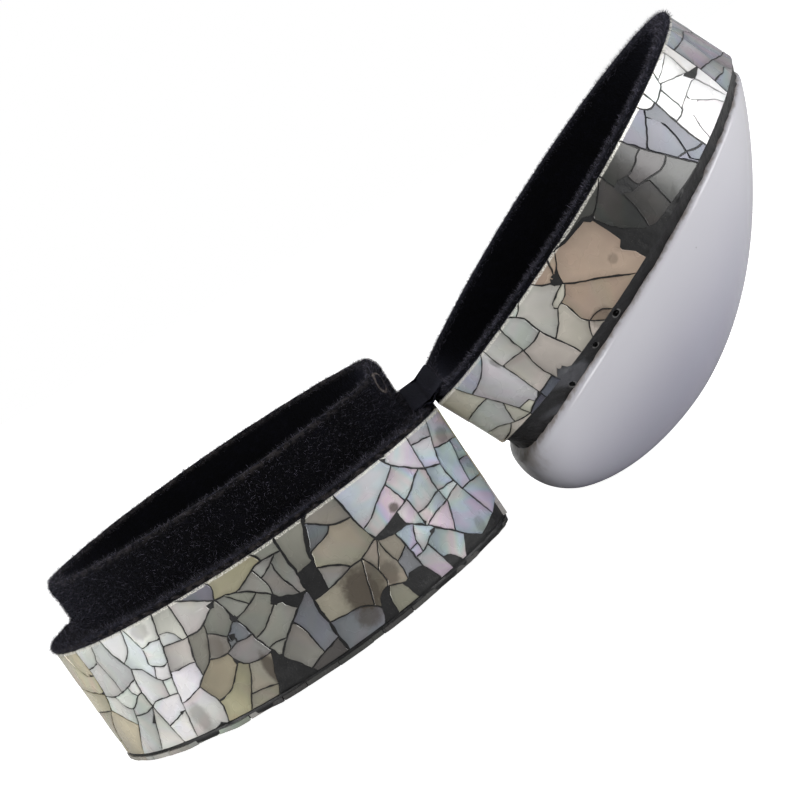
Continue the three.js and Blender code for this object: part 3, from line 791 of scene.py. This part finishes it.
# The lid's wall is measured from the closing plane
lidWall = {
    "cracks": [
        (0.3, 1, 12.25, 0, 0.95), (0.3, -14, 12.25, -12, 0.95), (0.3, -27, 12.25, -30, 0.95),
        (0.3, -40, 12.25, -37, 0.95), (0.3, -50, 12.25, -53, 0.95), (0.3, -62, 12.25, -58, 0.95),
        (0.3, -74, 12.25, -77, 0.95), (0.3, 18.4, 0.95, 18.7, 4, 19, 7, 19.5, 10, 20.2, 12.25),
        (0.35, 30.2, 0.95, 30.6, 3.4, 31.2, 6.6, 31.7, 9.2, 31.8, 12.25),
        (0.35, 39, 0.95, 38.3, 3.6, 37.2, 6.8, 36.2, 9.4, 35.1, 12.25),
        (0.55, 57, 0.95, 54.5, 1.7, 52, 2, 50.5, 2.5, 50.3, 4.5, 50.3, 7, 50.6, 9, 50.7, 12.25),
        (0.35, 58.2, 0.95, 59.4, 2.8, 59.8, 4.6, 57.8, 7, 56.2, 8.7, 54.6, 10.7, 53.3, 12.25),
        (0.35, 68.1, 0.95, 66.9, 2.9, 67.3, 5.4, 67.1, 7.8, 66.7, 10, 66.6, 12.25),
        (0.24, 70.2, 0.95, 70.8, 3.4, 71, 5.4, 71.7, 7.4, 72.1, 9.6, 71.9, 12.25),
        (0.24, 74.6, 0.95, 75, 3.4, 75.1, 6.4, 75.3, 9.2, 75.6, 12.25),
        (0.24, 83.4, 0.95, 83, 2.4, 81.8, 5.2, 80.7, 7.9, 79.9, 10.3, 79.5, 12.25),
        (0.24, 13.6, 0.95, 13.4, 3.2, 13.7, 6, 14.1, 8.8, 14.2, 10.7, 13, 12.25),
        (0.24, 0.5, 11.8, 5, 10.9, 10, 10.2, 14.1, 8.8), (0.24, 14.1, 8.8, 16.6, 8, 19, 7.3),
        (0.24, 11.8, 0.95, 10.2, 3.3, 8, 4.9, 4, 5.6, 0.5, 5.1), (0.24, 6, 5.4, 6.3, 8, 6, 10.6),
        (0.24, 10.1, 3.4, 13.4, 3.5), (0.24, 13.4, 3.5, 15.5, 3.3, 18.6, 2.6),
        (0.24, 14.2, 10.7, 16, 10.8, 17.8, 10.2, 19.5, 9.9),
        (0.24, 19, 6.7, 21.5, 5.7, 22.8, 5.1, 21.9, 7, 21.5, 9, 21, 12.25), (0.24, 21.9, 7, 19.1, 6.8),
        (0.24, 20.8, 0.95, 20.7, 2.2, 21.1, 3.8, 21.6, 5.6), (0.24, 25.8, 0.95, 27.1, 2.7, 28.6, 3.1, 30.5, 3.3),
        (0.24, 27.9, 3.1, 28.3, 5, 28.8, 7.1, 31.2, 7), (0.12, 21.7, 6.8, 23.4, 6.6, 26.1, 6.7, 28.7, 6.8),
        (0.14, 22.3, 5.2, 24.5, 4, 26.7, 2.8), (0.14, 26.1, 6.7, 26.3, 7.4, 24.6, 9.5, 23.3, 10.9, 22.6, 12.25),
        (0.16, 25.5, 8.6, 27.7, 7.8, 28.7, 9.1, 29.5, 10.2, 30.4, 12.25), (0.1, 20.9, 1.6, 23.3, 1.9, 26.4, 2.3),
        (0.24, 33, 0.95, 32.6, 2.1, 31.8, 2.9, 30.6, 3), (0.24, 32.7, 2.2, 35, 3.6, 37.7, 5),
        (0.35, 31.8, 11.6, 33.2, 11.1, 34.6, 10, 36.2, 9.4),
        (0.24, 33.6, 2.8, 32.7, 4.6, 33.2, 7, 33.9, 8.8, 34.7, 10), (0.24, 34.6, 10.1, 35.2, 11, 34.6, 12.25),
        (0.24, 50.3, 3, 50, 5, 49.4, 7, 48.2, 9, 47, 10.5, 45.5, 11.2, 42.6, 11.6, 38, 12.1, 36, 12.25),
        (0.24, 44.8, 0.95, 45, 3, 45.3, 5.6, 46, 8.2, 47, 10.4), (0.24, 45, 1.1, 47.2, 2.1, 49, 2.8, 50.3, 3),
        (0.24, 38.3, 4, 39.6, 4.1, 40.8, 4.5, 42.6, 4.4, 44, 3.6, 45, 3.8),
        (0.24, 37.2, 7.8, 38.6, 8.1, 40, 7.7, 41.2, 7.1, 42.8, 6.4, 45.3, 5.6, 47.5, 5, 50, 4.1),
        (0.24, 40.8, 4.5, 41, 6, 41.4, 7.3, 42, 9.5, 42.6, 11.6), (0.24, 42.6, 4.4, 42.9, 5.4, 42.8, 6.4),
        (0.24, 56.6, 1.05, 58, 2.3, 59.2, 3), (0.24, 62.3, 0.95, 61.6, 2.3, 59.9, 3.9),
        (0.24, 59.8, 4.9, 61, 5.7, 62.2, 5.9, 63.2, 6, 64.8, 7.2, 66.9, 8.2),
        (0.24, 60.5, 4.4, 62.3, 4.8, 63.4, 5.2, 63.1, 6),
        (0.24, 62.1, 5.9, 62.2, 7.6, 62.6, 9.4, 61.9, 11, 61, 12.25),
        (0.24, 59.1, 12.25, 59.9, 11.1, 61.2, 10.6, 62.2, 10.6), (0.24, 62.3, 10.5, 63.3, 11.4, 63.9, 12.25),
        (0.24, 65.4, 0.95, 66.4, 1.6, 67.4, 1.9), (0.24, 67.3, 5.7, 69, 5.9, 71.1, 5.6),
        (0.24, 71.1, 5.5, 73, 4.9, 75.1, 4.5), (0.24, 72.1, 10.9, 73.6, 11, 75.4, 11.1),
        (0.24, 75.4, 11.2, 77.4, 11.4, 79.7, 12), (0.24, 77.3, 11.4, 77.6, 10.5, 79.9, 10.3),
        (0.24, 75.2, 1.2, 77.6, 2.6, 79.9, 3.4, 82.4, 3.7), (0.24, 81.6, 5.7, 84.2, 5.6, 88.3, 5.9),
        (0.24, 79.6, 12, 81.4, 11.6, 83.3, 10.9, 85, 10, 88.3, 9.3), (0.24, 80.8, 8.1, 81.9, 9.7, 82.6, 11),
        (0.24, 83.4, 10.9, 85.2, 11.7, 88.3, 12),
    ],
    "missing": [(21.2, 6.3), (49.6, 10.8), (44, 4.9)],
    "holes": [(51, 9.3, 1.0), (59.9, 3.7, 0.9), (70.6, 12.1, 1.1), (50.4, 3, 0.4), (-33, 7, 0.9), (-57, 10, 1.2)],
    "tones": {
        "mauve": [(4, 3), (5, 8), (16, 11), (16, 5), (6, 12)],
        "steel": [(33.5, 6), (35.5, 3), (36, 7), (33, 11), (74, 12)],
        "bright": [(20.3, 4), (25, 7), (29.5, 5), (29.5, 10), (22, 10), (21, 2)],
        "iron": [(41.5, 3), (39.5, 6), (40, 10), (43.5, 8), (47.5, 5), (52, 1.4)],
        "peach": [(54, 6), (57.5, 10), (53, 11), (58, 3.4)],
        "ivory": [(61, 8), (64.5, 9), (69, 9), (73, 8), (84, 3.5), (83, 12), (85.8, 8)],
        "pale": [(64.5, 3.5), (69, 4), (72.6, 3), (78, 6), (83.5, 8)], "blue": [(78.5, 2.4)],
    },
    "shard": 15, "shatterBelow": 0, "toneShift": 90,
}
plainTones = {"silver": [(-9, 6), (12, 14)], "cream": [(2, 8), (-12, 15)], "grey": [(9, 4), (0, 16)]}


def cornerOf(tipShort):  # half width of the flat hinge end
    reach = plan["reach"] - tipShort
    return plan["halfWidth"] * (1 - (hingeReach / reach) ** plan["fullness"]) ** (1 / plan["fullness"])


def rectangle(low, high, half):
    return [(-half, low), (half, low), (half, high), (-half, high)]


def makeWall(which, w, low, high, tipShort, toRow, eyes, edge, seed):
    place, length = wallPlace(tipShort)
    material = shellShader(f"{which}_shell", shell, eyes, edge)
    sides = {**w, "outline": rectangle(low, high, length - wall["endGap"])}
    makeShards(f"{which}_wall_mosaic", sides, place, toRow, material, which, nodesOf(f"{which}_shell_plate"), seed)
    half = cornerOf(tipShort) - wall["flatInset"]
    across = {
        "outline": rectangle(low, high, half), "cracks": [(0.3, -4, high, -6, low), (0.3, 6, high, 4, low)],
        "missing": [], "holes": [(3, low + 3, 0.9)], "tones": plainTones,
        "shard": 17, "shatterBelow": 99, "toneShift": 0,
    }
    flatPlace = lambda sh, depth: np.stack([hingeReach - depth, sh[..., 0], sh[..., 1]], -1)
    plain = shellShader(f"{which}_hinge_shell", shell, [], edge)
    makeShards(f"{which}_hinge_mosaic", across, flatPlace, toRow, plain, which, [], seed + 40)


makeWall("base", baseWall, wall["low"], wall["top"], 0, boxToRow, shell["baseEyes"],
         [wall["top"] - g for g in wall["glue"]], 11)
makeWall("lid", lidWall, wall["lidLow"], wall["lidTop"], plan["lidTipShort"], lidToRow, shell["lidEyes"],
         [wall["lidLow"] + g for g in wall["glue"]], 23)


# Shell sheet under the base, cut to the plan
sheet = {
    "cracks": [(0.4, -14, -26, -8, 26), (0.4, -9, 6, 31, -3), (0.3, 14, 3, 18, 26), (0.3, -11, -4, -37, 2)],
    "missing": [], "holes": [(-12, 5, 1.4), (10, -12, 1.2)], "shard": 30, "shatterBelow": 99, "toneShift": 0,
    "tones": {"pale": [(-20, -14)], "iron": [(2, -24), (12, -20), (24, -12)], "grey": [(8, 12), (-15, 12), (0, -6)],
              "ivory": [(22, 8), (-30, 0)]},
    "steps": 44, "rim": 0.08, "cracksDrawn": 0.4,
}


def makeUnderside(s):
    angle = np.linspace(0, 2 * np.pi, s["steps"], endpoint=False)
    radius = planRadius(angle, s["rim"], s["rim"], s["rim"], plan["wallCorner"])
    outline = np.stack([radius * np.cos(angle), radius * np.sin(angle)], 1)
    flatPlace = lambda xy, depth: np.stack([xy[..., 0], xy[..., 1], depth], -1)
    makeShards("underside_mosaic", {**s, "outline": outline}, flatPlace, boxToRow,
               shellShader("underside_shell_sheet", shell, [], None), "base", ["underside_shell"], 71)


makeUnderside(sheet)

# Black resin of the base: a hollow body whose outer face lies just under the shards
base = {
    "ledge": (5.0, 3.2, 3.8),  # outer face to collar at tip, sides and hinge
    "face": 0.18, "bottom": 0.14, "cavityFloor": 3.4, "steps": 480, "wallRows": 60,
}


def resinRings(profile, steps, corner):
    profile = np.asarray(profile, float)
    insets = profile[:, 0:1] * np.array(base["ledge"]) + profile[:, 1:2]
    return planRings(insets, profile[:, 2], steps, corner)


def makeBaseResin(b):
    f = b["face"]
    profile = [(0, 0.9, b["bottom"]), (0, 0.45, b["bottom"]), (0, 0.3, 0.3), (0, 0.26, 0.8), (0, 0.34, 1.04)]
    profile.append((0, f, 1.25))
    profile += [(0, f, z) for z in np.linspace(1.6, wall["top"] - 0.3, b["wallRows"])]
    profile += [(0, f + 0.1, wall["top"] - 0.05), (0, 1.0, wall["top"]), (1, 0.0, wall["top"]),
                (1, 0.05, wall["top"] - 0.4), (1, 0.05, b["cavityFloor"])]
    rings = resinRings(profile, b["steps"], plan["wallCorner"])
    rows = slice(4, 67)
    wobble = waves(rings[rows], 2.6, 31) * 0.03 + waves(rings[rows], 0.9, 32) * 0.015
    outward = rings[rows, :, :2] / np.linalg.norm(rings[rows, :, :2], axis=-1, keepdims=True)
    rings[rows, :, :2] += outward * wobble[..., None]
    points, faces = stackFaces(rings)
    makePiece("base_resin", boxToRow(points), faces, resinShader("base_black_resin", resin), "base",
              ["base_resin_body"], sharp=50)


makeBaseResin(base)
print("base walls made")

# Velvet of the base: over the rim, along the ledge, up the collar and down into the cup.
# Each row is a share of the ledge, an inset past it and a height.
cloth = {
    "baseProfile": [
        (0, 0.5, 20.0), (0, 0.04, 20.12), (0, -0.1, 20.45), (0, 0.12, 20.84), (0.12, 0.5, 20.98), (0.5, 0.2, 20.94),
        (0.86, -0.3, 20.92), (1, -0.12, 21.6), (1, 0.06, 23.0), (1, 0.1, 25.6), (1, 0.0, 27.8), (1, 0.16, 28.8),
        (1, 0.9, 29.3), (1, 1.7, 28.8), (1, 1.9, 27.6), (1, 1.9, 20), (1, 1.9, 12), (1, 2.0, 7.0), (1, 2.7, 5.5),
        (1, 5.0, 5.2),
    ],
    "lidProfile": [
        (0.5, 0.98), (0.05, 0.92), (-0.06, 0.6), (0.12, 0.25), (0.8, 0.08), (1.8, 0.14), (2.6, 0.5), (2.9, 1.4),
        (2.92, 4.0), (2.95, 7.8), (3.4, 9.1), (5.0, 9.5),
    ],
    "steps": 400, "corner": 16, "perSpan": 5,
}


def makeBaseVelvet(c, material):
    shown = throughPoints(c["baseProfile"], c["perSpan"])
    hidden = [(1, 8.0, 3.65), (1, 0.3, 3.65), (1, 0.3, 12), (1, 0.3, 19.6)]
    profile = np.vstack([hidden, shown])
    rings = resinRings(profile, c["steps"], c["corner"])
    lumps = waves(rings, 7.0, 51) * 0.05
    rings[4:, :, 2] += lumps[4:] * 0.6
    points, faces = stackFaces(rings)
    makePiece("base_velvet", boxToRow(points), faces, material, "base", ["base_rim_velvet", "base_velvet_lining"])
    return boxToRow(rings)


def makeLidVelvet(c, material):
    shown = throughPoints(c["lidProfile"], c["perSpan"])
    hidden = [(8.0, 9.9), (2.35, 9.9), (2.35, 1.2)]
    profile = np.vstack([hidden, shown])
    insets = np.stack([profile[:, 0] + plan["lidTipShort"], profile[:, 0], profile[:, 0]], 1)
    rings = planRings(insets, profile[:, 1], c["steps"], c["corner"])
    points, faces = stackFaces(rings)
    makePiece("lid_velvet", lidToRow(points), faces, material, "lid", ["lid_rim_velvet", "lid_velvet_lining"])
    return lidToRow(rings)


# Worn marks on the hinge side of the collar: a small ring with a brown middle, and scuffs beside it
wear = {"ring": (26.8, -12.1, 27.5), "ringSize": (1.7, 2.1, 1.7), "scuff": (27.1, -10.6, 25.0), "scuffSize": 1.3}
boxUp = 1000 * (boxToRow(np.array([0, 0, 1.0])) - origin)


def wornRing(m, here, nap):
    place = boxToRow(np.array(wear["ring"]))
    reach = m.away(here, tuple(place), tuple(s / 1000 for s in wear["ringSize"]))
    return reach.between(0.72, 0.86) * (1 - reach.between(0.98, 1.12)) * nap.between(0.2, 0.55) * 0.9


def wornScuff(m, here, nap):
    place = boxToRow(np.array(wear["scuff"]))
    size = wear["scuffSize"] / 1000
    reach = m.away(here, tuple(place), (size, size, size))
    return (1 - reach.between(0.4, 1.2)) * m.noise(here, 1500, 4).between(0.5, 0.62) * 0.5


# Painted sheen: the velvet paler along the crest of the collar and the outer edge of the ledge
def crestSheen(m, here, nap):  # paler fuzz along the collar's crest and the outer edge of the ledge
    axis = tuple(float(v) for v in boxUp)
    height = m.node("ShaderNodeVectorMath", {"operation": "DOT_PRODUCT"}, {0: here, 1: axis}, "Value")
    start = float(origin @ boxUp)
    crest = height.between(start + 0.0281, start + 0.0293)
    ledge = height.between(start + 0.0198, start + 0.0202) * (1 - height.between(start + 0.0206, start + 0.0213))
    return crest.most(ledge) * nap.between(0.42, 0.62) * 0.13


velvetMaterial = velvetShader("black_velvet", velvet, [crestSheen, wornRing, wornScuff])
lidVelvetMaterial = velvetShader("black_velvet_of_lid", velvet)
baseCloth = makeBaseVelvet(cloth, velvetMaterial)
lidCloth = makeLidVelvet(cloth, lidVelvetMaterial)

# The strip of velvet that joins the two rims, made bent at the hinge line as the lid stands open
strip = {
    "reach": 3.2, "thickness": 0.36, "rowsAcross": 28, "rowsLong": 90, "endInset": 1.2, "rise": 0.35, "bendReach": 1.1,
}


def makeHingeStrip(s, material):
    half = cornerOf(0) - s["endInset"]
    t = np.linspace(-1, 1, s["rowsAcross"])
    y = np.linspace(-half, half, s["rowsLong"])
    distance = np.abs(t) * s["reach"]
    lift = s["rise"] * np.clip(distance / s["bendReach"], 0, 1) ** 1.5  # from the hinge line up onto the rims
    onBase = boxToRow(np.stack([hingeReach - distance, 0 * t, closingHeight + lift], -1))
    onLid = lidToRow(np.stack([hingeReach - distance, 0 * t, -lift], -1))
    middle = np.where((t < 0)[:, None], onBase, onLid)
    along = np.gradient(middle, axis=0)
    normal = np.cross(np.array([0, 1.0, 0]), along)
    normal /= np.linalg.norm(normal, axis=1, keepdims=True)
    normal *= np.where(normal[:, 2:3] < 0, -1, 1)
    edge = np.sqrt(np.clip(1 - np.abs(t) ** 8, 0, 1))[:, None]
    upper = middle + normal * edge * s["thickness"] / 2000
    lower = middle - normal * edge * s["thickness"] / 2000
    loop = np.vstack([upper, lower[::-1]])
    rings = np.repeat(loop[None], len(y), 0)
    rings[..., 1] = y[:, None] / 1000
    points, faces = stackFaces(rings)
    piece = makePiece("hinge_cloth", points, faces, material, None, ["velvet_hinge"])
    start, end = boxToRow(np.array([hingeReach - s["bendReach"], 0, closingHeight])), lidToRow(
        np.array([hingeReach - s["bendReach"], 0, 0]))
    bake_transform(piece)


makeHingeStrip(strip, lidVelvetMaterial)
print("velvet made")

# Pile: short fibres, each a thin pyramid, standing on the velvet
pile = {
    "length": (0.35, 0.95), "width": 0.05, "rootDepth": 0.05, "spread": 0.6, "dullness": {"base": 6, "lid": 3},
    "baseFibres": 46000, "lidFibres": 15000, "seed": 3,
}


def growPile(name, grid, count, p, material, body, seed):
    rng = np.random.default_rng(seed)
    beside = np.roll(grid, -1, 1)
    a, b, c, d = grid[:-1], beside[:-1], beside[1:], grid[1:]
    normal = np.cross(c - a, d - b)
    area = np.linalg.norm(normal, axis=-1)
    chance = (area / area.sum()).ravel()
    pick = rng.choice(len(chance), count, p=chance)
    u, v = rng.random((2, count, 1))
    a, b, c, d = (q.reshape(-1, 3)[pick] for q in (a, b, c, d))
    root = (a * (1 - u) + b * u) * (1 - v) + (d * (1 - u) + c * u) * v
    out = (normal / np.maximum(area, 1e-12)[..., None]).reshape(-1, 3)[pick]
    lay = rng.normal(0, p["spread"], (count, 3)) + (0, 0, 0.15)
    direction = out + lay
    direction /= np.linalg.norm(direction, axis=1, keepdims=True)
    side = np.cross(direction, rng.normal(size=(count, 3)))
    side /= np.linalg.norm(side, axis=1, keepdims=True)
    other = np.cross(direction, side)
    length = rng.uniform(*p["length"], (count, 1)) / 1000
    width = p["width"] / 1000
    root = root - out * p["rootDepth"] / 1000
    feet = [root + width * (side * math.cos(t) + other * math.sin(t)) / 2 for t in (0, 2.094, 4.189)]
    points = np.stack([*feet, root + direction * length], 1).reshape(-1, 3)
    first = 4 * np.arange(count)[:, None]
    faces = np.concatenate([first + f for f in ([0, 1, 3], [1, 2, 3], [2, 0, 3], [0, 2, 1])], 0)
    # share of the painted sheen along each fibre, strong only at the tips of a few fibres
    tip = np.tile([0.2, 0.2, 0.2, 1.0], count) * np.repeat(rng.uniform(0, 1, count) ** p["dullness"][body], 4)
    if signedVolume(points[:4], faces[[0, count, 2 * count, 3 * count]]) < 0:
        faces = faces[:, ::-1]
    return makePiece(name, points, faces.tolist(), material, body, [], {"tip": tip})


pileMaterial = pileShader("velvet_pile", velvet)


def outwardGrid(grid, centre):  # flips a grid whose cells face inwards
    a, c, b, d = grid[:-1, :-1], grid[1:, 1:], grid[:-1, 1:], grid[1:, :-1]
    facing = (np.cross(c - a, d - b) * (a - centre)).sum()
    return grid if facing > 0 else grid[:, ::-1]


perSpan = cloth["perSpan"]
shown = outwardGrid(baseCloth[5 : 4 + 14 * perSpan], baseCloth.mean((0, 1)))
growPile("base_pile", shown, pile["baseFibres"], pile, pileMaterial, "base", pile["seed"])
growPile("lid_pile", lidCloth[4 : 3 + 7 * perSpan][:, ::-1], pile["lidFibres"], pile, pileMaterial, "lid",
         pile["seed"] + 1)
print("pile made")

# Resin of the lid: wall, cavity and the thick seam that beds the dome
dome = {
    "height": 22.5, "thickness": 2.5, "inset": 0.8, "overhang": 3.2, "tuck": 0.035, "peakShift": 8.8,
    "shoulder": 1.6, "peakEase": 1.8, "corner": 9, "seamTip": 1.4, "seamHinge": 4.4, "seamRise": 6,
    "bedGap": 0.2, "steps": 220, "rings": 70, "ringEase": 1.25, "crown": 0.02,
}


def seamTop(x):
    along = np.clip((x + plan["reach"]) / (hingeReach + plan["reach"]), 0, 1)
    return wall["lidTop"] + dome["seamTip"] + (dome["seamHinge"] - dome["seamTip"]) * along ** dome["seamRise"]


def domeReach(angle, inset):
    cos, sin = np.cos(angle), np.sin(angle)
    full = plan["fullness"]
    tip = plan["reach"] - plan["lidTipShort"] - dome["inset"] - inset
    side = plan["halfWidth"] - dome["inset"] - inset
    oval = (np.abs(cos / tip) ** full + np.abs(sin / side) ** full) ** (1 / full)
    flat = np.maximum(cos, 0) / (hingeReach + dome["overhang"] - inset)
    return (oval ** dome["corner"] + flat ** dome["corner"]) ** (-1 / dome["corner"])


# Rings shrink as a rounded profile and drift towards the hinge as they rise
def domeRing(share, inset, tuck):
    d = dome
    angle = np.linspace(0, 2 * np.pi, d["steps"], endpoint=False)
    scale = max(d["crown"], math.sqrt(1 - share ** d["shoulder"])) * (1 - tuck)
    drift = d["peakShift"] * (1 - (1 - share) ** d["peakEase"])
    peak = wall["lidTop"] + d["seamTip"] + d["bedGap"] + d["height"] - inset
    reach = scale * domeReach(angle, inset)
    x = drift + reach * np.cos(angle)
    foot = seamTop(x) + d["bedGap"]
    return np.stack([x, reach * np.sin(angle), foot + (peak - foot) * share], -1)


whiteShell = {
    # colour at the foot and shade at the peak: painted highlight low on the dome and painted shade towards the top
    "colour": colour(215, 214, 221), "shade": colour(174, 173, 189), "stain": colour(122, 104, 84),
    "stainPlace": (33.5, -9.0, 15.8), "stainSize": (6.0, 8.0, 4.0), "roughness": 0.26,
    "specks": [(-6.0, -27.2, 18.2), (-14.5, -24.6, 19.0), (-17.0, -20.0, 24.0), (8.0, -27.0, 21.5)], "speckSize": 0.22,
}


def domeShader(w):
    m = Shader("white_shell", IOR=1.5, Coat_Weight=0.35, Coat_Roughness=0.18, Roughness=w["roughness"])
    here = m.object()
    clouds = m.noise(here, 38, 1)
    rise = m.node("ShaderNodeAttribute", {"attribute_name": "rise"}, None, "Fac")
    # Painted light: the dome paler towards its foot and darker towards its peak
    tone = m.mix((rise + (clouds - 0.5) * 0.3).between(0.0, 0.9), opaque(w["colour"]), opaque(w["shade"]))
    # A ragged brown line along the foot where the dome meets the seam: partly a real stain, partly painted shade in the
    # crease
    footStainAndShade = 1 - (rise + (m.noise(here, 900, 3) - 0.5) * 0.05).between(0.0, 0.03)
    tone = m.mix(footStainAndShade * 0.65, tone, opaque(w["stain"]))
    spot = lidToRow(np.array(w["stainPlace"]))
    reach = m.away(here, tuple(spot), tuple(s / 1000 for s in w["stainSize"])) + (m.noise(here, 330, 4) - 0.5) * 1.6
    tone = m.mix((1 - reach.between(0.2, 1.2)) * 0.6, tone, opaque(w["stain"]))
    pits = None
    for place in w["specks"]:
        size = w["speckSize"] / 1000
        mask = 1 - m.away(here, tuple(lidToRow(np.array(place))), (size, size * 1.4, size)).between(0.6, 1.2)
        pits = mask if pits is None else pits.most(mask)
    tone = m.mix(pits * 0.8, tone, opaque(colour(70, 66, 66)))
    m.give(Base_Color=tone, Normal=m.bump(m.noise(here, 500, 2), 0.00003, 0.2))
    return m.material


def makeDome(d):
    outer, inner, rises = [], [], []
    for k in range(d["rings"]):
        share = math.sin(k / (d["rings"] - 1) * math.pi / 2) ** d["ringEase"]
        tuck = d["tuck"] * max(0, 1 - share / 0.05) ** 2
        outer.append(domeRing(share, 0, tuck))
        inner.insert(0, domeRing(share, d["thickness"], tuck))
        rises.append(share)
    rings = np.stack(inner + outer)
    points, faces = stackFaces(rings)
    rise = np.append(np.repeat(rises[::-1] + rises, d["steps"]), (1, 1))
    makePiece("white_shell_dome", lidToRow(points), faces, domeShader(whiteShell), "lid", ["shell_dome"],
              {"rise": rise}, sharp=60)


makeDome(dome)

seam = {
    "steps": 1000, "rows": 34, "wallRows": 20, "innerInset": 2.3, "ceiling": 9.95,
    # along the wall from the tip, height, radius
    "bubbles": [
        (59.6, 13.1, 0.55), (65, 13.3, 0.45), (72.5, 14.2, 0.5), (-30, 13.4, 0.3), (-48, 13.8, 0.4), (-66, 14.6, 0.3),
    ],
    # along and height, then half sizes
    "smears": [((70.7, 13.2), (3.4, 3.4, 2.2)), ((77.5, 15.0), (3.0, 3.0, 1.4))],
}


def makeLidResin(s):
    angle = np.linspace(0, 2 * np.pi, s["steps"], endpoint=False)
    short = plan["lidTipShort"]
    face = planRadius(angle, short + base["face"], base["face"], base["face"], plan["wallCorner"])
    foot = domeReach(angle, 0) * (1 - dome["tuck"])
    rows = []

    def ring(radius, z):
        z = z + 0 * radius
        rows.append(np.stack([radius * np.cos(angle), radius * np.sin(angle), z], -1))

    inset = s["innerInset"]
    inner = planRadius(angle, short + inset, inset, inset, plan["wallCorner"])
    ring(inner * 0.5, s["ceiling"])
    ring(inner, s["ceiling"])
    ring(inner, wall["lidLow"] + 0.1)
    ring(face, wall["lidLow"] + 0.1)
    for z in np.linspace(wall["lidLow"] + 0.4, wall["lidTop"] - 0.1, s["wallRows"]):
        ring(face, z)
    seamFrom = len(rows)
    x = foot * np.cos(angle)
    top = seamTop(x) + dome["bedGap"] + 0.25
    for share in np.linspace(0, 1, s["rows"]):
        flare = share ** 1.6
        hollow = 0.35 * math.sin(math.pi * share)
        ring(face * (1 - flare) + (foot + 0.12) * flare - hollow, wall["lidTop"] + (top - wall["lidTop"]) * share)
    seamTo = len(rows)
    ring(foot - 1.2, top + 0.2)
    ring(foot * 0.5, wall["lidTop"] + 3.0)
    rings = np.stack(rows)
    band = rings[4:seamTo]
    lumps = waves(band, 3.4, 61) * 0.06 + waves(band, 1.1, 62) * 0.035
    lumps[: seamFrom - 4] *= 0.4
    place, _ = wallPlace(short)
    bubbles = []
    for along, z, size in s["bubbles"]:
        x, y, _ = place(np.array([along, z]), np.array(0.0))
        column = band[:, round(math.atan2(y, x) / (2 * math.pi) * s["steps"]) % s["steps"]]
        spot = column[np.argmin(np.abs(column[:, 2] - z))]
        inside = 1 - size / 2 / math.hypot(spot[0], spot[1])
        bubbles.append((lidToRow(spot * (inside, inside, 1)), size / 1000))
        distance = np.linalg.norm(band - spot, axis=-1)
        lumps -= 1.3 * size * np.sqrt(np.clip(1 - (distance / size) ** 2, 0, 1))
        lumps += 0.12 * np.exp(-(((distance - size * 1.15) / 0.12) ** 2))
    band[..., :2] += band[..., :2] / np.linalg.norm(band[..., :2], axis=-1, keepdims=True) * lumps[..., None]
    band[-6:, :, 2] += waves(band[-6:], 2.2, 63) * 0.14
    points, faces = stackFaces(rings)
    smears = [(lidToRow(place(np.array(at), np.array(0.0))), tuple(v / 1000 for v in size)) for at, size in s["smears"]]
    makePiece("lid_resin", lidToRow(points), faces, resinShader("lid_black_resin", resin, smears, bubbles), "lid",
              ["lid_resin_body"], sharp=60)


makeLidResin(seam)
print("lid made")

# Floor and soft light
studio = {
    "floorSize": 6.0, "ambient": 0.22, "floorGlow": 1.0,
    # name: place from the box's middle, size, power, aimed at the box
    "lights": {
        "left": ((-0.70, -0.42, 0.12), 0.42, 3.2),
        "right": ((0.70, -0.44, 0.22), 0.42, 2.8),
        "top": ((-0.1, 0.1, 0.9), 0.8, 2.6),
        "front": ((-0.2, -0.9, 0.6), 0.4, 0.3),
        "tip": ((0.71, -0.09, 0.23), 0.25, 0.9),  # where the white plate at the lid's tip mirrors it
    },
}


def makeStudio(s):
    floor = bpy.data.meshes.new("floor")
    half = s["floorSize"] / 2
    floor.from_pydata([(-half, -half, 0), (half, -half, 0), (half, half, 0), (-half, half, 0)], [], [(0, 1, 2, 3)])
    m = Shader("pale_floor", Roughness=0.8, Specular_IOR_Level=0.1)
    seen = m.node("ShaderNodeLightPath", None, None, "Is Camera Ray")
    m.give(Base_Color=(0.8, 0.8, 0.8, 1), Emission_Color=(1, 1, 1, 1), Emission_Strength=seen * s["floorGlow"])
    floor.materials.append(m.material)
    made = bpy.data.objects.new("floor", floor)
    bpy.context.scene.collection.objects.link(made)
    world = bpy.data.worlds.new("studio")
    bpy.context.scene.world = world
    world.use_nodes = True
    tree = world.node_tree
    background = tree.nodes["Background"]
    seen = tree.nodes.new("ShaderNodeLightPath")
    strength = tree.nodes.new("ShaderNodeMapRange")
    strength.inputs[3].default_value = s["ambient"]
    strength.inputs[4].default_value = 1.0
    tree.links.new(seen.outputs["Is Camera Ray"], strength.inputs[0])
    tree.links.new(strength.outputs[0], background.inputs["Strength"])
    background.inputs["Color"].default_value = (1, 1, 1, 1)
    middle = Vector((0, 0, 0.03))
    for name, (place, size, power) in s["lights"].items():
        data = bpy.data.lights.new(name, "AREA")
        data.shape = "SQUARE"
        data.size = size
        data.energy = power
        light = bpy.data.objects.new(name, data)
        light.location = middle + Vector(place)
        light.rotation_euler = (middle - light.location).to_track_quat("-Z", "Y").to_euler()
        bpy.context.scene.collection.objects.link(light)
    bpy.context.scene.view_settings.view_transform = "Standard"


makeStudio(studio)

print("scene made")
